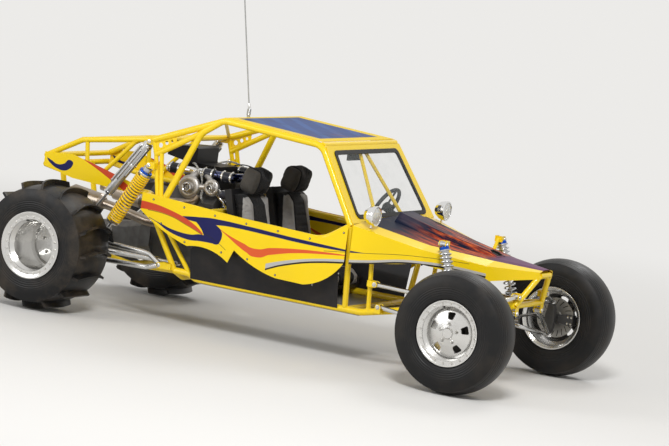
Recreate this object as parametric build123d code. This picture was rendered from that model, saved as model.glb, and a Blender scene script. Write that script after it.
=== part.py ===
from build123d import *
from math import cos, hypot, radians, sin
import os

os.makedirs("parts", exist_ok=True)

# Two-seat sand buggy in millimetres: +X forward, +Y left, +Z up, ground at Z = 0.
# The origin is on the ground below the middle of the overall length and width.

# Clearances
GAP = 0.3            # hairline between pieces that are welded, glued or bolted together
SKIN_GAP = 0.5       # between a panel and the tubes behind it
SHAFT_GAP = 0.5      # round a pin or shaft that turns

# Wheels and axles
WHEELBASE = 3020.0
FRONT_AXLE_X = 1531.0
REAR_AXLE_X = FRONT_AXLE_X - WHEELBASE
FRONT_TYRE_R = 387.5
FRONT_TYRE_W = 260.0
FRONT_WHEEL_Y = 785.0
REAR_TYRE_R = 430.0
REAR_TYRE_W = 400.0
REAR_WHEEL_Y = 800.0
BEAD_R = 190.5       # both axles take 15-inch tyres
FRONT_LIP_R = 207.0
REAR_LIP_R = 220.0
RIM_WALL = 6.0
PADDLES = 16
PADDLE_H = 36.0
PADDLE_T = 16.0

# Tube sizes
TUBE_MAIN = 44.0
TUBE_MID = 38.0
TUBE_THIN = 30.0
TUBE_SMALL = 24.0

# Stations along the length
NOSE_TIP_X = 1735.0
NOSE_BOX_X = 1650.0
TOWER_X = 1205.0
COWL_X = 613.0
ROOF_FRONT_X = 304.0
ROOF_REAR_X = -430.0
BAY_REAR_X = -935.0
ARM_PIVOT_X = -800.0
TAIL_X = -1820.0

# Heights
FLOOR_Z = 345.0      # middle of the lower rails under the seats
BAY_FLOOR_Z = 373.0  # middle of the lower rails at the engine
BELT_FRONT_Z = 770.0
BELT_MID_Z = 790.0
BELT_REAR_Z = 835.0
COWL_Z = 893.0
ROOF_FRONT_Z = 1362.0
ROOF_REAR_Z = 1408.0
NOSE_TIP_Z = 740.0
NOSE_BOX_Z = 541.0
TAIL_TOP_Z = 1110.0

# Half widths
FLOOR_HALF = 450.0
BELT_REAR_HALF = 530.0
BELT_MID_HALF = 550.0
BELT_FRONT_HALF = 567.0
COWL_HALF = 572.0
ROOF_FRONT_HALF = 512.0
ROOF_REAR_HALF = 500.0
TRUSS_HALF = 498.0
NOSE_BOX_HALF = 200.0
NOSE_TIP_HALF = 72.0
TAIL_HALF = 400.0


def rod(start, end, diameter):
    """Straight round bar from one point to another."""
    line = Vector(*end) - Vector(*start)
    return Solid.make_cylinder(diameter / 2, line.length, Plane(origin=Vector(*start), z_dir=line))


def pipe(points, diameter, bend):
    """Round tube along straight runs, with bends of one centre-line radius."""
    if len(points) == 2:
        return rod(points[0], points[1], diameter)
    path = FilletPolyline(*[Vector(*p) for p in points], radius=bend)
    start = Plane(origin=path @ 0, z_dir=path % 0)
    return sweep(start * Circle(diameter / 2), path=path).solids()[0]


def mirrored(shape):
    """The same piece on the other side of the car."""
    return shape.mirror(Plane.XZ)


def both_sides(shapes):
    """Each piece and its twin on the right."""
    shapes = shapes if isinstance(shapes, (list, tuple)) else [shapes]
    return [s for s in shapes] + [mirrored(s) for s in shapes]


def largest(shape):
    """The biggest solid that a cut leaves."""
    return max(shape.solids(), key=lambda s: s.volume)


def boxed(shape):
    """A solid with its box's low and high corners."""
    box = shape.bounding_box()
    return shape, tuple(box.min), tuple(box.max)


def trimmed(shape, others):
    """The biggest part of a solid outside each boxed solid that it meets."""
    _, low, high = boxed(shape)
    for other, other_low, other_high in others:
        if all(low[k] < other_high[k] and other_low[k] < high[k] for k in range(3)):
            shape = largest(shape - other)
            _, low, high = boxed(shape)
    return shape


def plate(outline, plane, thickness):
    """Flat sheet with the outline's points joined by straight edges."""
    return extrude(plane * make_face(Polyline(*outline, close=True)), thickness).solids()[0]


def turned(profile, plane):
    """Closed (across, along) profile turned a full circle about the plane's Y axis."""
    face = make_face(Polyline(*profile, close=True))
    return revolve(plane * face, axis=Axis(plane.origin, plane.y_dir)).solids()[0]


def between(a, b, share):
    """Point a share of the way from a to b."""
    return tuple(p + (q - p) * share for p, q in zip(a, b))


def on_line(a, b, x):
    """Point at one X on the line from a to b."""
    return between(a, b, (x - a[0]) / (b[0] - a[0]))


def flip(point):
    """The point's twin on the right."""
    return (point[0], -point[1], point[2])


# Joints of the welded frame, left side
PILLAR_FOOT = (COWL_X, COWL_HALF, COWL_Z)
PILLAR_TOP = (ROOF_FRONT_X, ROOF_FRONT_HALF, ROOF_FRONT_Z)
ROOF_REAR = (ROOF_REAR_X, ROOF_REAR_HALF, ROOF_REAR_Z)
TRUSS_TOP = (BAY_REAR_X - 12, TRUSS_HALF, 1205.0)
TRUSS_LOW = (BAY_REAR_X + 18, TRUSS_HALF, 1112.0)
DIAG_KNEE = (ROOF_REAR_X - 165, 503.0, 1302.0)
BELT_REAR = (BAY_REAR_X, BELT_REAR_HALF, BELT_REAR_Z)
BELT_MID = (-190.0, BELT_MID_HALF, BELT_MID_Z)
BELT_FRONT = (420.0, BELT_FRONT_HALF, BELT_FRONT_Z)
DIAG_FOOT = between(BELT_REAR, BELT_MID, 0.19)
STRUT_FOOT = between(BELT_REAR, BELT_MID, 0.12)
STRUT_FOOT_IN = between(BELT_REAR, BELT_MID, 0.155)
RAIL_REAR = (-700.0, FLOOR_HALF, BAY_FLOOR_Z)
SUMP_DROP = (-700.0, 330.0, 322.0)
RAIL_JOG_UP = (-585.0, FLOOR_HALF, BAY_FLOOR_Z)
RAIL_JOG_DOWN = (-530.0, FLOOR_HALF, FLOOR_Z)
RAIL_FRONT = (700.0, FLOOR_HALF, FLOOR_Z)
NOSE_BOX = (NOSE_BOX_X, NOSE_BOX_HALF, NOSE_BOX_Z)
NOSE_TIP = (NOSE_TIP_X, NOSE_TIP_HALF, NOSE_TIP_Z)
NOSE_RAIL_REAR = (COWL_X + 12, 540.0, 862.0)
NOSE_RAIL_MID = (1070.0, 385.0, 785.0)
ARM_POST_TOP = on_line(NOSE_RAIL_REAR, NOSE_RAIL_MID, 745.0)
TOWER_FOOT = on_line(NOSE_RAIL_MID, NOSE_TIP, TOWER_X)
TOWER_TOP = (TOWER_X, 388.0, 872.0)
SHOCK_TOP = (TOWER_X, 430.0, 872.0)
UPPER_PIVOT = (790.0, FLOOR_HALF + 18, 542.0)
LOWER_PIVOT = (830.0, FLOOR_HALF + 8, 402.0)
UPPER_KNEE = (1440.0, 345.0, 505.0)
LOWER_KNEE = (1440.0, 405.0, 330.0)
UPPER_FRONT = (1655.0, 215.0, 600.0)
LOWER_FRONT = (1640.0, 190.0, 492.0)
SHOCK_LOW = tuple(p + d for p, d in zip(on_line(LOWER_KNEE, LOWER_PIVOT, 1392.0), (0, 19.5, 28.5)))
ARM_PIVOT = (ARM_PIVOT_X, FLOOR_HALF + 20, 394.0)
COIL_TOP = (-926.0, 540.0, 1040.0)
COIL_LOW = (-1192.0, 540.0, 571.0)
BYPASS_TOP = (-985.0, TAIL_HALF + 70, 1188.0)
BYPASS_LOW = (-1420.0, 500.0, 566.0)
CRADLE_FRONT = (-705.0, 425.0, BAY_FLOOR_Z - 4)
CRADLE_MID = (-1180.0, 205.0, REAR_TYRE_R - 108)
CRADLE_REAR = (-1700.0, 180.0, REAR_TYRE_R - 45)
TAIL_UP_FRONT = (TRUSS_TOP[0], TAIL_HALF, TRUSS_TOP[2])
TAIL_UP_REAR = (-1550.0, TAIL_HALF, TAIL_TOP_Z)
TAIL_END = (TAIL_X, TAIL_HALF, 965.0)
TAIL_LOW_FRONT = (BAY_REAR_X - 22, TAIL_HALF, BELT_REAR_Z + 3)
TAIL_LOW_REAR = (-1600.0, TAIL_HALF, 868.0)
TAIL_LOW_END = (TAIL_X, TAIL_HALF, 905.0)


def centre(point):
    """The point's foot on the car's middle plane."""
    return (point[0], 0.0, point[2])


def frame_rows():
    """The frame's tubes in welding order: node, sides, diameter, bend radius, points."""
    lower_up = on_line(RAIL_FRONT, NOSE_BOX, TOWER_X)
    hip_x = -440.0
    hip_low = (hip_x, FLOOR_HALF, FLOOR_Z)
    hip_top = between(BELT_REAR, BELT_MID, (hip_x - BELT_REAR[0]) / (BELT_MID[0] - BELT_REAR[0]))
    knee_low = (COWL_X - 30, FLOOR_HALF, FLOOR_Z)
    arm_post_x = 745.0
    rack_rail = on_line(RAIL_FRONT, NOSE_BOX, FRONT_AXLE_X - STEER_ARM_X)
    return [
        ("cage_hoops", 2, TUBE_MAIN, 110, [PILLAR_FOOT, PILLAR_TOP, ROOF_REAR, TRUSS_TOP]),
        ("body_frame", 2, TUBE_MAIN, 260, [BELT_REAR, BELT_MID, BELT_FRONT, PILLAR_FOOT]),
        ("lower_frame", 2, TUBE_MAIN, 90,
         [RAIL_REAR, RAIL_JOG_UP, RAIL_JOG_DOWN, RAIL_FRONT, NOSE_BOX]),
        ("body_frame", 2, TUBE_MID, 300, [NOSE_RAIL_REAR, NOSE_RAIL_MID, NOSE_TIP]),
        ("roll_cage", 2, TUBE_MAIN, 120, [between(ROOF_REAR, TRUSS_TOP, 0.06), DIAG_KNEE, DIAG_FOOT]),
        ("engine_bay_frame", 2, TUBE_MID, 0, [DIAG_KNEE, TRUSS_LOW]),
        ("engine_bay_frame", 2, TUBE_THIN, 0, [TRUSS_LOW, STRUT_FOOT]),
        ("engine_bay_frame", 2, TUBE_THIN, 0,
         [on_line(DIAG_KNEE, TRUSS_LOW, TRUSS_LOW[0] + 40), STRUT_FOOT_IN]),
        ("engine_bay_frame", 2, TUBE_THIN, 0, [TRUSS_TOP, TRUSS_LOW]),
        ("roll_cage", 1, TUBE_MAIN, 0, [PILLAR_TOP, flip(PILLAR_TOP)]),
        ("roll_cage", 1, TUBE_MAIN, 0, [ROOF_REAR, flip(ROOF_REAR)]),
        ("body_frame", 1, TUBE_MID, 0, [PILLAR_FOOT, flip(PILLAR_FOOT)]),
        ("roll_cage", 2, TUBE_SMALL, 0,
         [(ROOF_FRONT_X, 20.0, ROOF_FRONT_Z), (COWL_X, 205.0, COWL_Z)]),
        ("roll_cage", 1, TUBE_MAIN, 0, [hip_top, flip(hip_top)]),
        ("body_frame", 2, TUBE_MID, 0, [hip_top, hip_low]),
        ("body_frame", 2, TUBE_MID, 0, [PILLAR_FOOT, knee_low]),
        ("body_frame", 2, TUBE_MID, 0, [BELT_REAR, RAIL_REAR]),
        ("body_frame", 2, TUBE_THIN, 0, [between(BELT_REAR, BELT_MID, 0.05), RAIL_JOG_UP]),
        ("lower_frame", 1, TUBE_MID, 50, [RAIL_REAR, SUMP_DROP, flip(SUMP_DROP), flip(RAIL_REAR)]),
        ("lower_frame", 1, TUBE_MID, 0, [hip_low, flip(hip_low)]),
        ("lower_frame", 1, TUBE_MID, 0, [knee_low, flip(knee_low)]),
        ("lower_frame", 1, TUBE_MID, 0, [lower_up, flip(lower_up)]),
        ("lower_frame", 1, TUBE_MID, 0, [NOSE_BOX, flip(NOSE_BOX)]),
        ("lower_frame", 1, TUBE_THIN, 0, [rack_rail, flip(rack_rail)]),
        ("body_frame", 1, TUBE_MID, 0, [NOSE_TIP, flip(NOSE_TIP)]),
        ("body_frame", 2, TUBE_MID, 0, [NOSE_TIP, NOSE_BOX]),
        ("body_frame", 2, TUBE_THIN, 0, [on_line(RAIL_FRONT, NOSE_BOX, arm_post_x), ARM_POST_TOP]),
        ("body_frame", 2, TUBE_THIN, 0, [TOWER_FOOT, lower_up]),
        ("body_frame", 1, TUBE_THIN, 0, [TOWER_FOOT, flip(TOWER_FOOT)]),
        ("body_frame", 2, TUBE_SMALL, 0, [TOWER_FOOT, TOWER_TOP]),
        ("engine_bay_frame", 1, TUBE_MID, 0, [TRUSS_TOP, flip(TRUSS_TOP)]),
        ("engine_bay_frame", 1, TUBE_SMALL, 0, [flip(ROOF_REAR), TRUSS_TOP]),
        ("tail_frame", 2, TUBE_MID, 120, [TAIL_UP_FRONT, TAIL_UP_REAR, TAIL_END]),
        ("tail_frame", 2, TUBE_MID, 60, [BELT_REAR, TAIL_LOW_FRONT, TAIL_LOW_REAR, TAIL_LOW_END]),
        ("tail_frame", 1, TUBE_MID, 0, [TAIL_END, flip(TAIL_END)]),
        ("tail_frame", 1, TUBE_MID, 0, [TAIL_LOW_END, flip(TAIL_LOW_END)]),
        ("tail_frame", 1, TUBE_MID, 0, [TAIL_UP_REAR, flip(TAIL_UP_REAR)]),
        ("tail_frame", 2, TUBE_THIN, 0,
         [between(TAIL_UP_FRONT, TAIL_UP_REAR, 0.3), between(TAIL_LOW_FRONT, TAIL_LOW_REAR, 0.72)]),
        ("tail_frame", 2, TUBE_THIN, 0,
         [between(TAIL_UP_FRONT, TAIL_UP_REAR, 0.94), between(TAIL_LOW_FRONT, TAIL_LOW_REAR, 0.82)]),
        ("engine_bay_frame", 2, TUBE_MID, 120,
         [CRADLE_FRONT, CRADLE_MID, CRADLE_REAR, (TAIL_X, CRADLE_REAR[1] + 10, TAIL_LOW_END[2])]),
        ("engine_bay_frame", 1, TUBE_MID, 0, [CRADLE_MID, flip(CRADLE_MID)]),
        ("engine_bay_frame", 1, TUBE_MID, 0, [CRADLE_REAR, flip(CRADLE_REAR)]),
    ]


def welded_frame():
    """Every tube of the frame by node, each notched to fit the tubes before it."""
    nodes = {}
    standing = []
    for node, sides, diameter, bend, points in frame_rows():
        tube = pipe(points, diameter, bend)
        grown = pipe(points, diameter + 2 * GAP, bend)
        tube = trimmed(tube, standing)
        pieces = [tube] if sides == 1 else both_sides(tube)
        standing += [boxed(s) for s in ([grown] if sides == 1 else both_sides(grown))]
        nodes.setdefault(node, []).extend(pieces)
    return nodes, standing


# Body panels
PANEL_T = 2.5
ROOF_T = 3.0
GLASS_T = 5.0
SEAL_T = 12.0
SEAL_W = 28.0
SCREEN_LOW_V = 34.0      # windscreen opening, up the slope from the pillar's foot
SCREEN_HIGH_V = 512.0
SCREEN_LOW_HALF = 500.0
SCREEN_HIGH_HALF = 448.0
SCREEN_CORNER = 38.0
HOOD_T = 3.0
SPINE_H = 58.0
DASH_T = 3.0
DASH_H = 165.0
DASH_LEAN = 14.0

# Nose skin: x, hood edge y, z, crown z, shoulder y, z, skirt y, z
NOSE_SECTIONS = [
    (640.0, 450.0, 922.0, 945.0, 598.0, 903.0, 594.0, 655.0),
    (1070.0, 345.0, 838.0, 852.0, 442.0, 812.0, 452.0, 722.0),
    (1450.0, 172.0, 795.0, 803.0, 268.0, 765.0, 262.0, 668.0),
    (1745.0, 58.0, 775.0, 780.0, 98.0, 766.0, 96.0, 722.0),
]


def section(x, points):
    """Face at one station from (y, z) points."""
    return make_face(Polyline(*[(x, y, z) for y, z in points], close=True))


def ruled(sections):
    """Solid stretched straight between faces."""
    return loft(sections, ruled=True).solids()[0]


def side_plane(offset):
    """Upright plane along the belt, this far outside its tube; x is forward, y is up."""
    lean = (COWL_HALF - BELT_REAR_HALF) / (COWL_X - BAY_REAR_X)
    y = BELT_REAR_HALF + TUBE_MAIN / 2 + offset - BAY_REAR_X * lean
    return Plane(origin=(0, y, 0), x_dir=(1, lean, 0), z_dir=(lean, -1, 0))


def side_panels():
    """Left and right flanks with the scalloped lower edge."""
    rim = TUBE_MAIN / 2 + 2
    a = (BAY_REAR_X - 16, BELT_REAR_Z + rim)
    b = (BELT_MID[0], BELT_MID_Z + rim)
    c = (BELT_FRONT[0] + 30, BELT_FRONT_Z + rim)
    d = (COWL_X - 6, COWL_Z + rim - 8)
    e = (COWL_X - 6, 655.0)
    edge = [Line(a, b), Line(b, c), Line(c, d), Line(d, e),
            ThreePointArc(e, (500, 540), (330, 468)), Line((330, 468), (125, 472)),
            ThreePointArc((125, 472), (-60, 522), (-207, 598)), Line((-207, 598), (-246, 509)),
            ThreePointArc((-246, 509), (-410, 572), (-565, 564)),
            ThreePointArc((-565, 564), (-760, 632), (a[0], 742)), Line((a[0], 742), a)]
    face = make_face(edge)
    # The plane's normal points inwards, so the sheet grows outwards.
    sheet = extrude(side_plane(SKIN_GAP) * face, -PANEL_T).solids()[0]
    return both_sides(sheet)


def engine_side_skins():
    """Dark sheets that close the lower sides between the rails and the flanks."""
    slope = 0.215
    y0 = FLOOR_HALF + TUBE_MAIN / 2 + SKIN_GAP
    plane = Plane(origin=(0, y0, FLOOR_Z), x_dir=(1, 0, 0), z_dir=(0, -1, slope))
    outline = [(-560, 0), (540, 0), (540, 270), (-500, 270), (-560, 200)]
    return both_sides(plate(outline, plane, -2.0))


def floor_pan():
    """Belly sheet under the seats."""
    top = FLOOR_Z - TUBE_MAIN / 2 - GAP
    half = FLOOR_HALF + 10
    outline = [(-500, -half), (690, -half), (690, half), (-500, half)]
    return [plate(outline, Plane.XY.offset(top), -PANEL_T)]


def roof_panel():
    """Roof sheet over the rails."""
    rise = (ROOF_REAR_Z - ROOF_FRONT_Z) / (ROOF_FRONT_X - ROOF_REAR_X)
    mid = ((ROOF_FRONT_X + ROOF_REAR_X) / 2, 0, (ROOF_FRONT_Z + ROOF_REAR_Z) / 2)
    plane = Plane(origin=mid, x_dir=(1, 0, -rise), z_dir=(rise, 0, 1)).offset(TUBE_MAIN / 2 + GAP)
    front = ROOF_FRONT_X - mid[0] - 6
    rear = ROOF_REAR_X - mid[0] + 12
    outline = [(rear, -ROOF_REAR_HALF), (front, -ROOF_FRONT_HALF),
               (front, ROOF_FRONT_HALF), (rear, ROOF_REAR_HALF)]
    return [plate(outline, plane, ROOF_T)]


def screen_plane(offset):
    """Plane of the windscreen: x is left, y is up the slope from the pillars' feet."""
    up = Vector(*centre(PILLAR_TOP)) - Vector(*centre(PILLAR_FOOT))
    normal = Vector(0, 1, 0).cross(up).normalized()
    return Plane(origin=Vector(*centre(PILLAR_FOOT)) + normal * offset, x_dir=(0, 1, 0), z_dir=normal)


def screen_face(inset, corner):
    """Windscreen opening drawn in by an inset, with round corners."""
    low_v, high_v = SCREEN_LOW_V + inset, SCREEN_HIGH_V - inset
    low, high = SCREEN_LOW_HALF - inset, SCREEN_HIGH_HALF - inset
    face = make_face(Polyline((-low, low_v), (low, low_v), (high, high_v), (-high, high_v), close=True))
    return fillet(face.vertices(), corner)


def windscreen_surround():
    """Sheet between the pillars, with the windscreen's opening."""
    length = (Vector(*PILLAR_TOP) - Vector(*PILLAR_FOOT)).length
    high_v = length - 18
    outline = [(-COWL_HALF - 14, 6), (COWL_HALF + 14, 6), (ROOF_FRONT_HALF + 6, high_v),
               (-ROOF_FRONT_HALF - 6, high_v)]
    face = make_face(Polyline(*outline, close=True)) - screen_face(0, SCREEN_CORNER)
    return [extrude(screen_plane(TUBE_MAIN / 2 + GAP) * face, PANEL_T).solids()[0]]


def windscreen_seal():
    """Rubber frame round the glass."""
    face = screen_face(GAP, SCREEN_CORNER) - screen_face(SEAL_W, SCREEN_CORNER - 16)
    return [extrude(screen_plane(TUBE_MAIN / 2 - 3) * face, SEAL_T).solids()[0]]


def windscreen_glass():
    """Flat glass inside the rubber frame."""
    face = screen_face(SEAL_W + GAP, SCREEN_CORNER - 16.5)
    return [extrude(screen_plane(TUBE_MAIN / 2) * face, GLASS_T).solids()[0]]


def nose_side_panels(frame):
    """Yellow skins from the cowl to the nose, notched where a tube passes through."""
    faces = []
    for x, hood_y, hood_z, _, shoulder_y, shoulder_z, skirt_y, skirt_z in NOSE_SECTIONS:
        outer = [(hood_y, hood_z), (shoulder_y, shoulder_z), (skirt_y, skirt_z)]
        inner = [(skirt_y - HOOD_T, skirt_z), (shoulder_y - HOOD_T, shoulder_z - HOOD_T),
                 (hood_y, hood_z - HOOD_T)]
        faces.append(section(x, outer + inner))
    return both_sides(trimmed(ruled(faces), frame))


def hood_panel():
    """Black hood with its raised spine and the vent at the spine's front end."""
    faces = []
    for x, hood_y, hood_z, crown_z, *_ in NOSE_SECTIONS:
        y = hood_y - GAP
        top = [(-y, hood_z), (-0.5 * y, (hood_z + crown_z) / 2 + 3), (0, crown_z),
               (0.5 * y, (hood_z + crown_z) / 2 + 3), (y, hood_z)]
        faces.append(section(x, top + [(p, z - HOOD_T) for p, z in reversed(top)]))
    hood = ruled(faces)
    # Spine: x, half width at the hood, half width on top, hood z, height
    rows = [(712.0, 165.0, 92.0, 925.0, SPINE_H), (1050.0, 125.0, 70.0, 852.0, SPINE_H * 0.75),
            (1345.0, 86.0, 54.0, 812.0, SPINE_H * 0.5), (1420.0, 70.0, 52.0, 803.0, 6.0)]
    spine = ruled([section(x, [(-low, z), (-high, z + h), (high, z + h), (low, z)])
                   for x, low, high, z, h in rows])
    vent = Plane(origin=(1375, 0, 790), x_dir=(1, 0, 0), z_dir=(0, 0, 1))
    hexagon = make_face(Polyline((-28, -18), (0, -44), (34, -36), (34, 36), (0, 44), (-28, 18), close=True))
    return [largest(hood + spine - extrude(vent * hexagon, 60))]


def tail_panels():
    """Side sheets of the tail over the gearbox."""
    y = TAIL_HALF + TUBE_MID / 2 + SKIN_GAP
    side = Plane(origin=(BAY_REAR_X - 150, y, 0), x_dir=(1, 0, 0), z_dir=(0, -1, 0))
    outline = [(0, 818), (-500, 846), (-735, 898), (-735, 990), (-520, 1004), (-330, 962), (0, 880)]
    return both_sides(plate(outline, side, -PANEL_T))


GUSSET_FRONT_X = -775.0
GUSSET_T = 4.0
GUSSET_HOLES = [(-890.0, 32.0), (-846.0, 26.0), (-808.0, 20.0)]    # x, diameter


def rail_gussets(frame):
    """Holed plates between the top rail and the strut under it, at the rear of the engine bay."""
    def rail_z(x):
        return on_line(ROOF_REAR, TRUSS_TOP, x)[2]

    def strut_z(x):
        return on_line(DIAG_KNEE, TRUSS_LOW, x)[2]

    side = Plane(origin=(0, TRUSS_HALF + GUSSET_T, 0), x_dir=(1, 0, 0), z_dir=(0, -1, 0))
    rear, foot, front = TRUSS_TOP[0], TRUSS_LOW[0], GUSSET_FRONT_X
    outline = [(foot, strut_z(foot)), (front, strut_z(front)), (front, rail_z(front)), (rear, rail_z(rear))]
    sheet = trimmed(plate(outline, side, GUSSET_T), frame)
    for x, diameter in GUSSET_HOLES:
        z = (rail_z(x) + strut_z(x)) / 2
        sheet = sheet - rod((x, TRUSS_HALF - 10, z), (x, TRUSS_HALF + 10, z), diameter)
    return both_sides(largest(sheet))


def dash_panel(frame):
    """Instrument panel against the rear of the cowl's cross tube, with the steering column's hole."""
    lean = radians(DASH_LEAN)
    normal = Vector(cos(lean), 0, -sin(lean))
    seat = Vector(*centre(PILLAR_FOOT)) - normal * (TUBE_MID / 2 + GAP)
    plane = Plane(origin=seat, x_dir=(0, 1, 0), z_dir=normal)
    outline = [(-490, 8 - DASH_H), (490, 8 - DASH_H), (500, 8), (-500, 8)]
    sheet = plate(outline, plane, -DASH_T)
    return [trimmed(largest(sheet - rod(column_point(120), column_point(240), COLUMN_D + 8)), frame)]


# Seats
SEAT_Y = FLOOR_HALF - 175.0
SEAT_HALF = 190.0
SHELL_WALL = 26.0
SEAT_BASE_Z = 372.0
HEADREST_X = -270.0
HEADREST_Z = 1042.7
HEADREST_T = 110.0


def seat_profile(points, half, y=SEAT_Y):
    """Solid with one side view, stretched across the seat."""
    plane = Plane(origin=(0, y + half, 0), x_dir=(1, 0, 0), z_dir=(0, -1, 0))
    return plate(points, plane, 2 * half)


def seat_shells():
    """Bucket shells under and behind the cushions."""
    outer = [(215, 440), (200, SEAT_BASE_Z), (-175, SEAT_BASE_Z), (-240, 430), (-395, 960), (-345, 975),
             (-228, 520), (-150, 440)]
    shell = seat_profile(outer, SEAT_HALF)
    inner = [(240, 470), (240, 396), (-158, 396), (-216, 440), (-366, 1000), (-300, 1000), (-150, 500), (-130, 470)]
    return both_sides(largest(shell - seat_profile(inner, SEAT_HALF - SHELL_WALL)))


def seat_cushions():
    """Base and back cushions, one of each per seat."""
    half = SEAT_HALF - SHELL_WALL - 2
    base = seat_profile([(212, 396.3), (212, 452), (170, 492), (-120, 470), (-140, 396.3)], half)
    back = seat_profile([(-150, 452), (-135, 478), (-168, 620), (-255, 930), (-298, 955), (-351.7, 948),
                         (-216.7, 444), (-180, 430)], half)
    return both_sides([base, back])


def headrests():
    """Round-topped head pads above the seat backs."""
    core = Plane(origin=(HEADREST_X, SEAT_Y, HEADREST_Z), x_dir=(0, 1, 0), z_dir=(1, 0, -0.25))
    outline = make_face(Polyline((-125, -78), (125, -78), (118, 88), (-118, 88), close=True))
    face = fillet(outline.vertices(), 55)
    pad = extrude(core * face, HEADREST_T).solids()[0]
    return both_sides(pad.translate(Vector(-HEADREST_T / 2, 0, 0)))


# Steering and hubs
KINGPIN_Y = 660.0
BALL_UP_Z = 498.0
BALL_LOW_Z = 277.0
PIN_R = 9.0
EYE_R = 22.0
EYE_H = 22.0
UPRIGHT_HALF = 20.0      # upright's half width at its ends
UPRIGHT_T = 36.0
UPRIGHT_SWEEP = hypot(UPRIGHT_HALF, UPRIGHT_T / 2) + 6
STEER_ARM_X = 100.0      # steering arm's pin behind the kingpin
TIE_Z = 400.0
TIE_D = 20.0
HOUSING_HALF = 150.0
SPINDLE_R = 22.0
HUB_R = 46.0
DISC_R = 132.0
DISC_T = 10.0
FRONT_DISC_Y = -45.0     # brake disc from the wheel's middle plane
ARM_TUBE = 28.0

# Clevises: pivot, bolt direction, reach to the frame, plate spacing
CLEVIS_T = 5.0
CLEVIS_W = 40.0
BARREL_R = 17.0
BARREL_L = 40.0
BOLT_D = 14.0


def clevis(pivot, axis, reach, length):
    """Two tab plates with a bolt through the pivot, reaching towards their seat."""
    axis, reach = Vector(*axis).normalized(), Vector(*reach).normalized()
    inner = BARREL_L / 2 + GAP
    bolt = axis * (inner + CLEVIS_T + 6)
    solid = rod(Vector(*pivot) - bolt, Vector(*pivot) + bolt, BOLT_D)
    for side in (-1, 1):
        base = Vector(*pivot) + axis * side * inner
        plane = Plane(origin=base, x_dir=reach, z_dir=axis * side)
        outline = [(-18, -10), (-10, -18), (10, -CLEVIS_W / 2), (length, -CLEVIS_W / 2),
                   (length, CLEVIS_W / 2), (10, CLEVIS_W / 2), (-10, 18), (-18, 10)]
        solid = solid + plate(outline, plane, CLEVIS_T)
    base = Plane(origin=Vector(*pivot) + reach * (length - CLEVIS_T), x_dir=axis, z_dir=reach)
    half = inner + CLEVIS_T
    web = [(-half, -CLEVIS_W / 2), (half, -CLEVIS_W / 2), (half, CLEVIS_W / 2), (-half, CLEVIS_W / 2)]
    return (solid + plate(web, base, CLEVIS_T)).solids()[0]


def barrel(pivot, axis):
    """Bush that turns on a clevis bolt."""
    axis = Vector(*axis).normalized() * (BARREL_L / 2)
    return rod(Vector(*pivot) - axis, Vector(*pivot) + axis, 2 * BARREL_R)


def bolt_hole(pivot, axis):
    """Clearance for a clevis bolt through a barrel."""
    axis = Vector(*axis).normalized() * BARREL_L
    return rod(Vector(*pivot) - axis, Vector(*pivot) + axis, BOLT_D + 2 * GAP)


# Pivots on the frame: point, bolt direction, direction to the seat, reach
PIVOTS = [
    (UPPER_PIVOT, (0, 1, 0), (-1, 0, 0), 52),
    (LOWER_PIVOT, (0, 1, 0), (0, 0, -1), 40),
    (UPPER_FRONT, (1, 0, 0), (0, -1, 0), 48),
    (LOWER_FRONT, (1, 0, 0), (0, 0, 1), 42),
    (SHOCK_TOP, (1, 0, 0), (0, -1, 0), 42),
    (ARM_PIVOT, (0, 1, 0), (1, 0, 0), 92),
    (COIL_TOP, (0, 1, 0), (1, 0, 0), 44),
    (BYPASS_TOP, (0, 1, 0), (1, 0, 0), 50),
]


def suspension_tabs(frame):
    """Tab pairs with their bolts, notched round the frame's tubes."""
    tabs = [trimmed(clevis(*row), frame) for row in PIVOTS]
    return both_sides(tabs)


def eye(x, y, z):
    """Ring that turns on the knuckle's upright pin."""
    return rod((x, y, z - EYE_H / 2), (x, y, z + EYE_H / 2), 2 * EYE_R)


def front_arms():
    """Upper and lower wishbones."""
    arms = []
    for z, knee, rear, front in ((BALL_UP_Z, UPPER_KNEE, UPPER_PIVOT, UPPER_FRONT),
                                 (BALL_LOW_Z, LOWER_KNEE, LOWER_PIVOT, LOWER_FRONT)):
        ball = (FRONT_AXLE_X, KINGPIN_Y, z)
        arm = pipe([ball, knee, rear], ARM_TUBE, 60) + rod(ball, front, ARM_TUBE)
        arm = arm + eye(*ball) + barrel(rear, (0, 1, 0)) + barrel(front, (1, 0, 0))
        arm = arm - rod((ball[0], ball[1], z - 60), (ball[0], ball[1], z + 60), 2 * (PIN_R + SHAFT_GAP))
        for side in (-1, 1):
            start = (ball[0], ball[1], z + side * EYE_H / 2)
            arm = arm - rod(start, (ball[0], ball[1], z + side * 60), 2 * UPRIGHT_SWEEP)
        arm = arm - bolt_hole(rear, (0, 1, 0)) - bolt_hole(front, (1, 0, 0))
        arms.append(largest(arm))
    return both_sides(arms)


def shock_axis(top, low):
    """Unit direction from a shock's top to its foot, and its length."""
    line = Vector(*low) - Vector(*top)
    return line.normalized(), line.length


def stepped(top, low, rows):
    """Turned solid along a line: rows of distance from the top and radius."""
    direction, _ = shock_axis(top, low)
    across = direction.cross(Vector(0, 1, 0))
    side = Plane(origin=Vector(*top), x_dir=across, z_dir=across.cross(direction))
    outline = [(0, rows[0][0])] + [(r, s) for s, r in rows] + [(0, rows[-1][0])]
    face = make_face(Polyline(*outline, close=True))
    return revolve(side * face, axis=Axis(Vector(*top), side.y_dir)).solids()[0]


def coils(start, end, turns, outer_r, inner_r):
    """Rows of a spring as one ribbed sleeve: a ridge for each turn."""
    pitch = (end - start) / turns
    rows = []
    for k in range(turns):
        s = start + k * pitch
        rows += [(s + 0.22 * pitch, outer_r), (s + 0.62 * pitch, outer_r), (s + 0.78 * pitch, inner_r),
                 (s + pitch, inner_r)]
    return rows


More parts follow.
